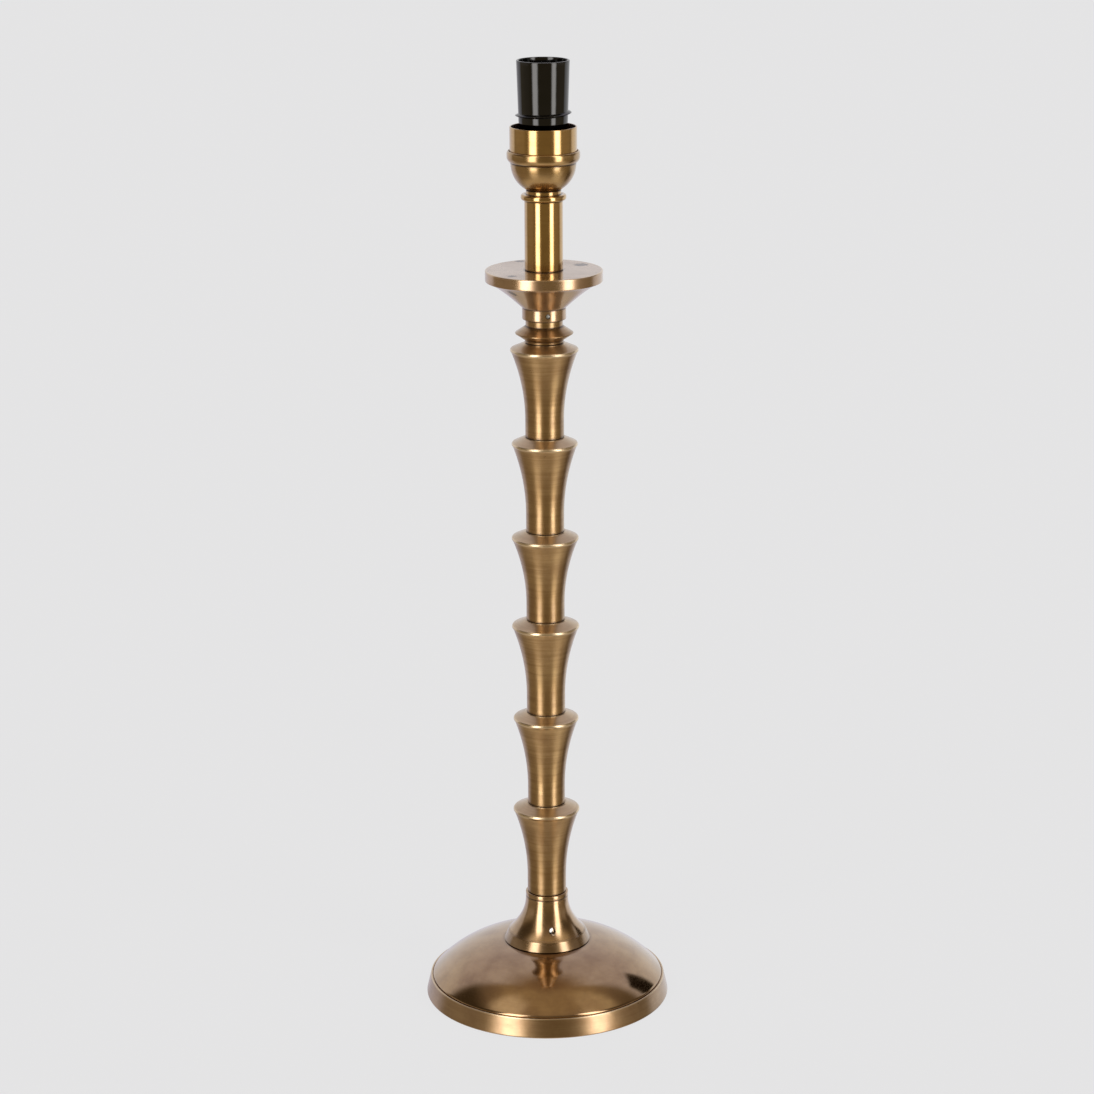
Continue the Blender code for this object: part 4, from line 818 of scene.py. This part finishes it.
def make_shell():
    """Open brass cylinder with a rounded lip, its inside darkened by oxide together with painted shade.
    """
    low, high, wide = span("holder_shell")
    inner = wide - 1.0 * MM
    outline = rounded([
        (inner, high, 0.35 * MM), (wide, high, 0.45 * MM), (wide, low), (inner, low)])
    made = turned("holder_shell_fine", divided(outline, STEP))
    seam = low + 1.1 * MM
    # Inside darker all over by oxide and painted shade, and at the seam by patina and painted shade
    return patina_and_painted_light(made, lambda r, z: (r < inner + 0.2 * MM) + near(z, seam, 0.4 * MM))


# Lampholder


RIDGE_OUT = 2.3 * MM
RIDGE_HALF = 1.15 * MM
RIDGE_PITCH = 3.5 * MM
RIDGE_FROM_MOUTH = 32.8 * MM
RIDGE_RUN_OUT = math.radians(45)
BARREL_RADIUS = 15.2 * MM
BARREL_HEIGHT = 37.2 * MM
SLEEVE_WALL = 1.4 * MM


def ridge_rise(height, turn, crest):
    """How far the ridge stands out at arrays of heights and turns.

    Its centre climbs one pitch in a turn that starts at the back. Across, it is a triangle with
    a rounded crest, and along, it fades to nothing over the run-out at both ends.
    """
    along = np.mod(turn - math.pi / 2, 2 * math.pi)
    centre = crest + RIDGE_PITCH * (along / (2 * math.pi) - 0.5)
    fade = np.clip(np.minimum(along, 2 * math.pi - along) / RIDGE_RUN_OUT, 0, 1)
    fade = fade * fade * (3 - 2 * fade)
    off = np.abs(height - centre) / RIDGE_HALF
    flank = np.clip(1 - off, 0, 1)
    return RIDGE_OUT * fade * (flank - 0.12 * np.clip(1 - off / 0.35, 0, 1) ** 2)


def make_sleeve():
    """Thin sleeve: straight taper, one turn of ridge, quarter-ellipse shoulder and neck."""
    low, high, _ = span("holder_sleeve")
    neck, neck_inner, mouth = 11.8 * MM, 10.6 * MM, 16.4 * MM
    barrel_low = high - BARREL_HEIGHT
    crest = high - RIDGE_FROM_MOUTH
    lip = rounded([
        (mouth - SLEEVE_WALL, high - 2 * MM),
        (mouth - SLEEVE_WALL, high, 0.4 * MM),
        (mouth, high, 0.45 * MM),
        (mouth, high - 2 * MM),
    ])[1:-1]
    above, below = crest + 3.4 * MM, crest - 3.4 * MM
    plain = np.linspace(lip[-1][1], above, 14)[1:]
    dense = np.linspace(above, below, 84)[1:]
    rest = np.linspace(below, barrel_low, 4)[1:]
    heights = np.concatenate([plain, dense, rest])
    taper = BARREL_RADIUS + (mouth - BARREL_RADIUS) * (heights - barrel_low) / BARREL_HEIGHT
    angle = np.linspace(0, math.pi / 2, 12)[1:]
    shoulder = np.stack([
        neck + (BARREL_RADIUS - neck) * np.cos(angle), barrel_low - 4.6 * MM * np.sin(angle)], axis=1)
    floor = barrel_low + 2.0 * MM
    inner = np.array([
        (neck, low), (neck_inner, low), (neck_inner, floor), (BARREL_RADIUS - SLEEVE_WALL, floor)])
    outline = np.concatenate([lip, np.stack([taper, heights], axis=1), shoulder, inner])
    radius = np.repeat(outline[:, :1], WIDE_ROUND, axis=1)
    barrel = slice(len(lip), len(lip) + len(heights))
    radius[barrel] += ridge_rise(heights[:, None], bearings(WIDE_ROUND), crest)
    return surface("holder_sleeve_fine", revolve(radius, outline[:, 1], WIDE_ROUND))


def make_cap():
    """Lower half of the lampholder."""
    low, high, wide = span("holder_cap")
    step, collar, inner, bush, floor = high - 8.5 * MM, 10.3 * MM, 9.2 * MM, 7.7 * MM, low + 12 * MM
    outline = rounded([
        (collar, high, 0.2 * MM),
        (collar, step),
        (wide, step, 0.3 * MM),
        (wide, low, 1.1 * MM),
        (bush, low),
        (bush, floor),
        (inner, floor),
        (inner, high),
    ])
    return turned("holder_cap_fine", outline, SMALL_ROUND * 2)


THREAD_PITCH = 3.62 * MM
THREAD_DEPTH = 1.1 * MM
THREAD_WALL = 0.4 * MM


def make_screw_shell():
    """Rolled thread: the radius waves once a pitch along the axis and climbs a pitch a turn."""
    low, high, wide = span("screw_shell")
    steps, thread_low, core, heel = 128, low + 1.6 * MM, 12.75 * MM, 13.2 * MM
    turn = bearings(steps)
    height = np.linspace(high, thread_low, 100)[:, None]
    wave = np.cos(2 * math.pi * (height / THREAD_PITCH - turn / (2 * math.pi)))
    ends = np.clip((high - height) / (1.2 * MM), 0, 1) * np.clip((height - thread_low) / MM, 0, 1)
    outer = core + THREAD_WALL + THREAD_DEPTH / 2 * wave * ends
    flat = np.ones((1, steps))
    lip, base = wide - 5.5 * MM, low + THREAD_WALL
    radius = np.concatenate([
        outer, heel * flat, lip * flat, lip * flat, (heel - 0.6 * MM) * flat,
        (outer - THREAD_WALL)[::-1]])
    heights = np.concatenate([
        height * flat, low * flat, low * flat, base * flat, base * flat, (height * flat)[::-1]])
    return surface("screw_shell_fine", revolve(radius, heights, steps))


def make_centre_contact():
    """Plunger with a domed head, a stem and the button that keeps it in."""
    low, high, wide = span("centre_contact")
    head, stem, button, thick = 3.2 * MM, 1.3 * MM, 2.1 * MM, 0.8 * MM
    outline = rounded([
        (POLE, high),
        (wide * 0.5, high, 0.6 * MM),
        (wide, high - 1.0 * MM, 0.7 * MM),
        (wide, high - head, 0.2 * MM),
        (stem, high - head),
        (stem, low + thick),
        (button, low + thick, 0.2 * MM),
        (button, low, 0.3 * MM),
        (POLE, low),
    ])
    return turned("centre_contact_fine", outline, SMALL_ROUND, solid=True)


SPRING_TURNS = 4
SPRING_WIRE = 0.35 * MM


def make_contact_spring():
    """Spring whose wire's centre rises evenly along a helix: (c cos t, c sin t, low + pitch t)."""
    low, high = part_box("contact_spring")
    coil = (high.x - low.x) / 2 - SPRING_WIRE
    turn = np.linspace(0, 2 * math.pi * SPRING_TURNS, 24 * SPRING_TURNS + 1)[:, None]
    rise = np.linspace(low.z + SPRING_WIRE, high.z - SPRING_WIRE, len(turn))[:, None]
    round_wire = bearings(12)
    reach = coil + SPRING_WIRE * np.cos(round_wire)
    grid = np.stack([
        reach * np.cos(turn), reach * np.sin(turn), rise + SPRING_WIRE * np.sin(round_wire)], axis=2)
    return surface("contact_spring_fine", grid, solid=True)


def make_rivet(number):
    """Rivet with a head that is a quarter ellipse."""
    low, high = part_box("shell_rivet_%d" % number)
    head_radius, head_height, shank = 1.4 * MM, 0.7 * MM, 0.9 * MM
    angle = np.linspace(math.pi / 2, 0, 8)
    head = np.stack([
        np.maximum(head_radius * np.cos(angle), POLE),
        high.z - head_height + head_height * np.sin(angle)], axis=1)
    body = np.array([(shank, high.z - head_height), (shank, low.z), (POLE, low.z)])
    made = turned("shell_rivet_%d_fine" % number, np.concatenate([head, body]), 24, solid=True)
    made.data.transform(Matrix.Translation((0, (low.y + high.y) / 2, 0)))
    return made


GRUB_BEARING = math.radians(-80)
GRUB_CROWN = 0.12 * MM


def grub_place(radius, height):
    """Frame of a grub screw, its Z pointing outwards along the bearing."""
    turn = Matrix.Rotation(GRUB_BEARING, 4, "Z")
    return turn @ Matrix.Translation((radius, 0, height)) @ Matrix.Rotation(math.pi / 2, 4, "Y")


def grub_reach(node):
    """Height of a grub screw, and the distances of its outer and inner ends from the axis."""
    points = places(nodes[node].data.vertices)
    along = points @ np.array([math.cos(GRUB_BEARING), math.sin(GRUB_BEARING), 0])
    return float(points[:, 2].mean()), float(along.max()), float(along.min())


def make_grub(node, radius, slant):
    """Grub screw whose end is a low crown, the square of the radius, filed to face right and up."""
    height, outer, inner = grub_reach(node)
    length = outer - inner
    share = np.linspace(0.02, 0.92, 10)
    crown = np.stack([radius * share, -GRUB_CROWN * share ** 2], axis=1)
    rest = np.array([
        (radius, -GRUB_CROWN - 0.1 * MM), (radius, -length + 0.5 * MM), (radius * 0.5, -length),
        (POLE, -length)])
    outline = np.concatenate([crown, rest])
    grid = revolve(outline[:, 0], outline[:, 1], SMALL_ROUND)
    end = grid[:len(crown) + 1]
    end[..., 2] -= slant * (end[..., 1] + radius) - 0.6 * slant * (end[..., 0] - radius)
    made = surface(node + "_fine", grid, solid=True)
    made.data.transform(grub_place(outer, height))
    return made


def make_felt():
    """Felt disc whose cut edge wanders by three sines of its bearing."""
    low, high, wide = span("base_felt")
    turn = bearings(WIDE_ROUND)
    wander = 0.04 * MM * (np.sin(turn * 23) + np.sin(turn * 41 + 1) + np.sin(turn * 67 + 2))
    edge = np.array([
        (POLE, high), (wide - 0.6 * MM, high), (wide - 0.25 * MM, high - 0.2 * MM),
        (wide - 0.2 * MM, (low + high) / 2), (wide - 0.25 * MM, low + 0.2 * MM),
        (wide - 0.6 * MM, low), (POLE, low)])
    radius = np.repeat(edge[:, :1], WIDE_ROUND, axis=1)
    radius[1:-1] += wander
    return surface("base_felt_fine", revolve(radius, edge[:, 1], WIDE_ROUND), solid=True)


def make_bush():
    """Bush of the lead's inlet, turned about its own axis and laid along +Y."""
    low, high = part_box("cord_bush")
    height = (low.z + high.z) / 2
    flange = (high.z - low.z) / 2
    outer, bore = flange - 0.6 * MM, flange - 1.5 * MM
    face, back = high.y, low.y
    flange_face = face - 1.4 * MM
    outline = rounded([
        (outer, face, 0.5 * MM),
        (outer, flange_face),
        (flange, flange_face, 0.2 * MM),
        (flange, flange_face - 1.0 * MM, 0.2 * MM),
        (outer, flange_face - 1.0 * MM),
        (outer, back, 0.3 * MM),
        (bore, back, 0.3 * MM),
        (bore, face, 0.35 * MM),
    ])
    made = turned("cord_bush_fine", outline, SMALL_ROUND)
    made.data.transform(Matrix.Translation((0, 0, height)) @ Matrix.Rotation(-math.pi / 2, 4, "X"))
    return made


def make_block():
    """Ceramic block with broken edges, its boss and the pocket of the centre contact."""
    low, high, wide = span("contact_block")
    shelf, pocket_floor = high - 8.0 * MM, high - 9.0 * MM
    boss, stem, pocket = 8.7 * MM, 1.6 * MM, 3.9 * MM
    outline = rounded([
        (wide, high, 0.5 * MM),
        (wide, shelf, 0.4 * MM),
        (boss, shelf),
        (boss, low, 0.4 * MM),
        (stem, low),
        (stem, pocket_floor),
        (pocket, pocket_floor),
        (pocket, high, 0.4 * MM),
    ])
    return turned("contact_block_fine", outline, SMALL_ROUND * 2)


dress(make_base_dome(), dome_brass, "polished_brass", "base_dome", skirt=band_brass)
dress(make_ferrule(), ferrule_brass, "polished_brass", "foot_ferrule")
for number in range(1, 7):
    dress(make_segment(number), column_brass, "satin_brass", "column_segment_%d" % number)
dress(make_cone_ring(), column_brass, "satin_brass", "cone_ring")
dress(make_drip_disc(), disc_brass, "satin_brass", "drip_disc")
dress(make_upper_tube(), tube_brass, "polished_brass", "upper_tube")
dress(make_neck_ring(), tube_brass, "polished_brass", "neck_ring")
dress(make_cup(), cup_brass, "polished_brass", "holder_cup")
dress(make_bead(), cup_brass, "polished_brass", "cup_bead")
dress(make_shell(), tube_brass, "polished_brass", "holder_shell")
dress(make_sleeve(), phenolic, "black_phenolic", "holder_sleeve")
dress(make_cap(), phenolic, "black_phenolic", "holder_cap")
dress(make_screw_shell(), contact_brass, "plain_brass", "screw_shell")
dress(make_centre_contact(), contact_brass, "plain_brass", "centre_contact", body="contact")
dress(make_block(), ceramic, "glazed_ceramic", "contact_block")
dress(make_felt(), felt, "green_felt", "base_felt")
dress(make_bush(), phenolic, "black_phenolic", "cord_bush")
spring = make_contact_spring()
dress(spring, steel, "zinc_steel", "contact_spring")
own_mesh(spring)
for number in (1, 2):
    dress(make_rivet(number), contact_brass, "plain_brass", "shell_rivet_%d" % number)
dress(make_grub("ferrule_grub", radius=1.8 * MM, slant=0.31), steel, "zinc_steel", "ferrule_grub")
dress(make_grub("collar_grub", radius=1.2 * MM, slant=0.0), steel, "zinc_steel", "collar_grub")

kept = {
    iron: ("base_weight",),
    steel: ("base_washer", "base_nut", "tie_rod", "cup_washer"),
    contact_brass: (
        "cup_nut", "cap_bush", "terminal_screw_1", "terminal_screw_2", "side_contact", "centre_tag"),
}
for material, names in kept.items():
    for name in names:
        nodes[name].data.materials.clear()
        nodes[name].data.materials.append(material)


# Studio

# Light of the dim room by rise in degrees, from straight down to straight up
ROOM = (
    (-90, (0.93, 0.85, 0.73)), (-55, (0.70, 0.62, 0.50)), (-45, (0.54, 0.48, 0.385)),
    (-35, (0.39, 0.33, 0.255)), (-25, (0.28, 0.225, 0.14)), (-16, (0.23, 0.18, 0.10)),
    (0, (0.21, 0.16, 0.085)), (20, (0.17, 0.13, 0.072)), (35, (0.16, 0.12, 0.072)),
    (50, (0.24, 0.185, 0.125)), (65, (0.36, 0.275, 0.18)), (80, (0.32, 0.225, 0.14)),
)

# What stands round the lamp, the farther things first: the middle and half of each one's span of
# bearing and of rise, how softly it ends in both, and its light. All in degrees, and the bearing
# is 0 at the camera and grows to the right.
PANELS = (
    # Backdrop with its paler middle
    (178, 64, 17, 52, 6, 10, (0.63, 0.60, 0.67)),
    (178, 66, 10, 20, 6, 10, (0.75, 0.74, 0.76)),
    (142, 28, -4, 20, 10, 12, (0.86, 0.86, 0.87)),
    # Ceiling in front, and its pale glow beside the strip boxes
    (0, 100, 76, 12, 20, 6, (0.45, 0.35, 0.215)),
    (-62, 22, 61, 10, 10, 6, (0.84, 0.74, 0.58)),
    (76, 18, 58, 13, 8, 8, (0.64, 0.54, 0.38)),
    # Walls on both sides, lit by the boxes
    (-88, 22, 4, 11, 8, 9, (0.44, 0.38, 0.30)),
    (82, 20, 4, 11, 8, 9, (0.44, 0.38, 0.30)),
    (-88, 28, -28, 15, 9, 9, (0.32, 0.255, 0.17)),
    (75, 14, -22, 16, 8, 8, (0.31, 0.245, 0.16)),
    # Dark flags between the boxes and the backdrop
    (126, 8, 27, 11, 2, 2, (0.015, 0.010, 0.006)),
    (115, 11, -30, 12, 6, 5, (0.09, 0.065, 0.045)),
    (108, 14, 12, 9, 5, 5, (0.12, 0.09, 0.06)),
    (84, 14, 27, 7, 6, 4, (0.08, 0.06, 0.035)),
    (-92, 26, 35, 13, 6, 6, (0.07, 0.052, 0.03)),
    # Sheen of the strip boxes on the table
    (-37, 15, -36, 16, 9, 12, (0.95, 0.88, 0.78)),
    (60, 18, -40, 16, 9, 12, (0.98, 0.92, 0.80)),
    # Two tall strip boxes
    (-36, 11.5, 16, 37, 5, 7, (4.6, 4.45, 4.3)),
    (49, 9.7, 16, 37, 5, 7, (4.6, 4.45, 4.3)),
)


def make_floor():
    """Pale sweep that the lamp stands on, evenly lit, with a faint shadow."""
    mesh = bpy.data.meshes.new("floor")
    corners = [
        (x * FLOOR_REACH, y * FLOOR_REACH, 0) for x, y in ((-1, -1), (1, -1), (1, 1), (-1, 1))]
    mesh.from_pydata(corners, [], [(0, 1, 2, 3)])
    made = placed("floor", mesh)
    material = bpy.data.materials.new("pale_sweep")
    material.use_nodes = True
    tree = material.node_tree
    shader = tree.nodes["Principled BSDF"]
    feed(tree, shader, {
        "Base Color": (0.8, 0.8, 0.8, 1), "Roughness": 0.9, "Specular IOR Level": 0.0})
    glow = add(tree, "ShaderNodeEmission", {"Color": linear(BACKDROP_HEX)})
    blend = add(tree, "ShaderNodeMixShader", {0: 0.06}, {1: glow, 2: shader})
    feed(tree, tree.nodes["Material Output"], links={"Surface": blend})
    mesh.materials.append(material)
    made.visible_glossy = False


def make_world():
    """Room of the photograph as light: the dim room by rise, then each panel laid over it."""
    world = bpy.data.worlds.new("studio")
    bpy.context.scene.world = world
    world.use_nodes = True
    tree = world.node_tree
    tree.nodes.clear()
    way = add(tree, "ShaderNodeTexCoord").outputs["Generated"]
    apart = add(tree, "ShaderNodeSeparateXYZ", links={"Vector": way})
    ahead = add(tree, "ShaderNodeMath", {1: -1.0}, {0: apart.outputs["Y"]}, operation="MULTIPLY")
    turn = add(
        tree, "ShaderNodeMath", links={0: apart.outputs["X"], 1: ahead}, operation="ARCTAN2")
    lift = add(tree, "ShaderNodeMath", links={0: apart.outputs["Z"]}, operation="ARCSINE")
    bearing, rise = (
        add(tree, "ShaderNodeMath", links={0: angle}, operation="DEGREES") for angle in (turn, lift))
    height = add(tree, "ShaderNodeMapRange", {"From Min": -90, "From Max": 90}, {"Value": rise})
    light = add(
        tree, "ShaderNodeValToRGB", links={"Fac": height},
        stops=[((degrees + 90) / 180, (*colour, 1)) for degrees, colour in ROOM])
    for middle, half, level, half_level, soft, soft_level, colour in PANELS:
        masks = []
        for source, at, reach, edge in (
                (bearing, middle, half, soft), (rise, level, half_level, soft_level)):
            off = add(tree, "ShaderNodeMath", {1: at}, {0: source}, operation="SUBTRACT")
            wrapped = add(
                tree, "ShaderNodeMath", {1: 180, 2: -180}, {0: off}, operation="WRAP")
            away = add(tree, "ShaderNodeMath", links={0: wrapped}, operation="ABSOLUTE")
            masks.append(add(
                tree, "ShaderNodeMapRange",
                {"From Min": reach - edge, "From Max": reach + edge, "To Min": 1.0, "To Max": 0.0},
                {"Value": away}, interpolation_type="SMOOTHSTEP"))
        mask = add(tree, "ShaderNodeMath", links={0: masks[0], 1: masks[1]}, operation="MULTIPLY")
        light = add(
            tree, "ShaderNodeMix", {7: (*colour, 1)}, {0: mask, 6: light}, data_type="RGBA")
    lit = add(tree, "ShaderNodeBackground", links={"Color": light})
    seen = add(tree, "ShaderNodeBackground", {"Color": linear(BACKDROP_HEX)})
    path = add(tree, "ShaderNodeLightPath")
    choice = add(tree, "ShaderNodeMixShader", links={
        0: path.outputs["Is Camera Ray"], 1: lit, 2: seen})
    add(tree, "ShaderNodeOutputWorld", links={"Surface": choice})


def make_camera():
    """Camera at the photograph's height, distance and angle."""
    data = bpy.data.cameras.new("camera")
    data.sensor_width = SENSOR_WIDTH
    data.lens = CAMERA_FOCUS_PIXELS / PHOTO_PIXELS * SENSOR_WIDTH
    made = placed("camera", data)
    facing = Matrix.Rotation(math.pi / 2 + CAMERA_PITCH, 4, "X")
    made.matrix_world = (
        Matrix.Translation(CAMERA_PLACE) @ facing @ Matrix.Rotation(CAMERA_ROLL, 4, "Z"))
    bpy.context.scene.camera = made


make_floor()
make_world()
make_camera()
bpy.context.scene.view_settings.view_transform = "Standard"
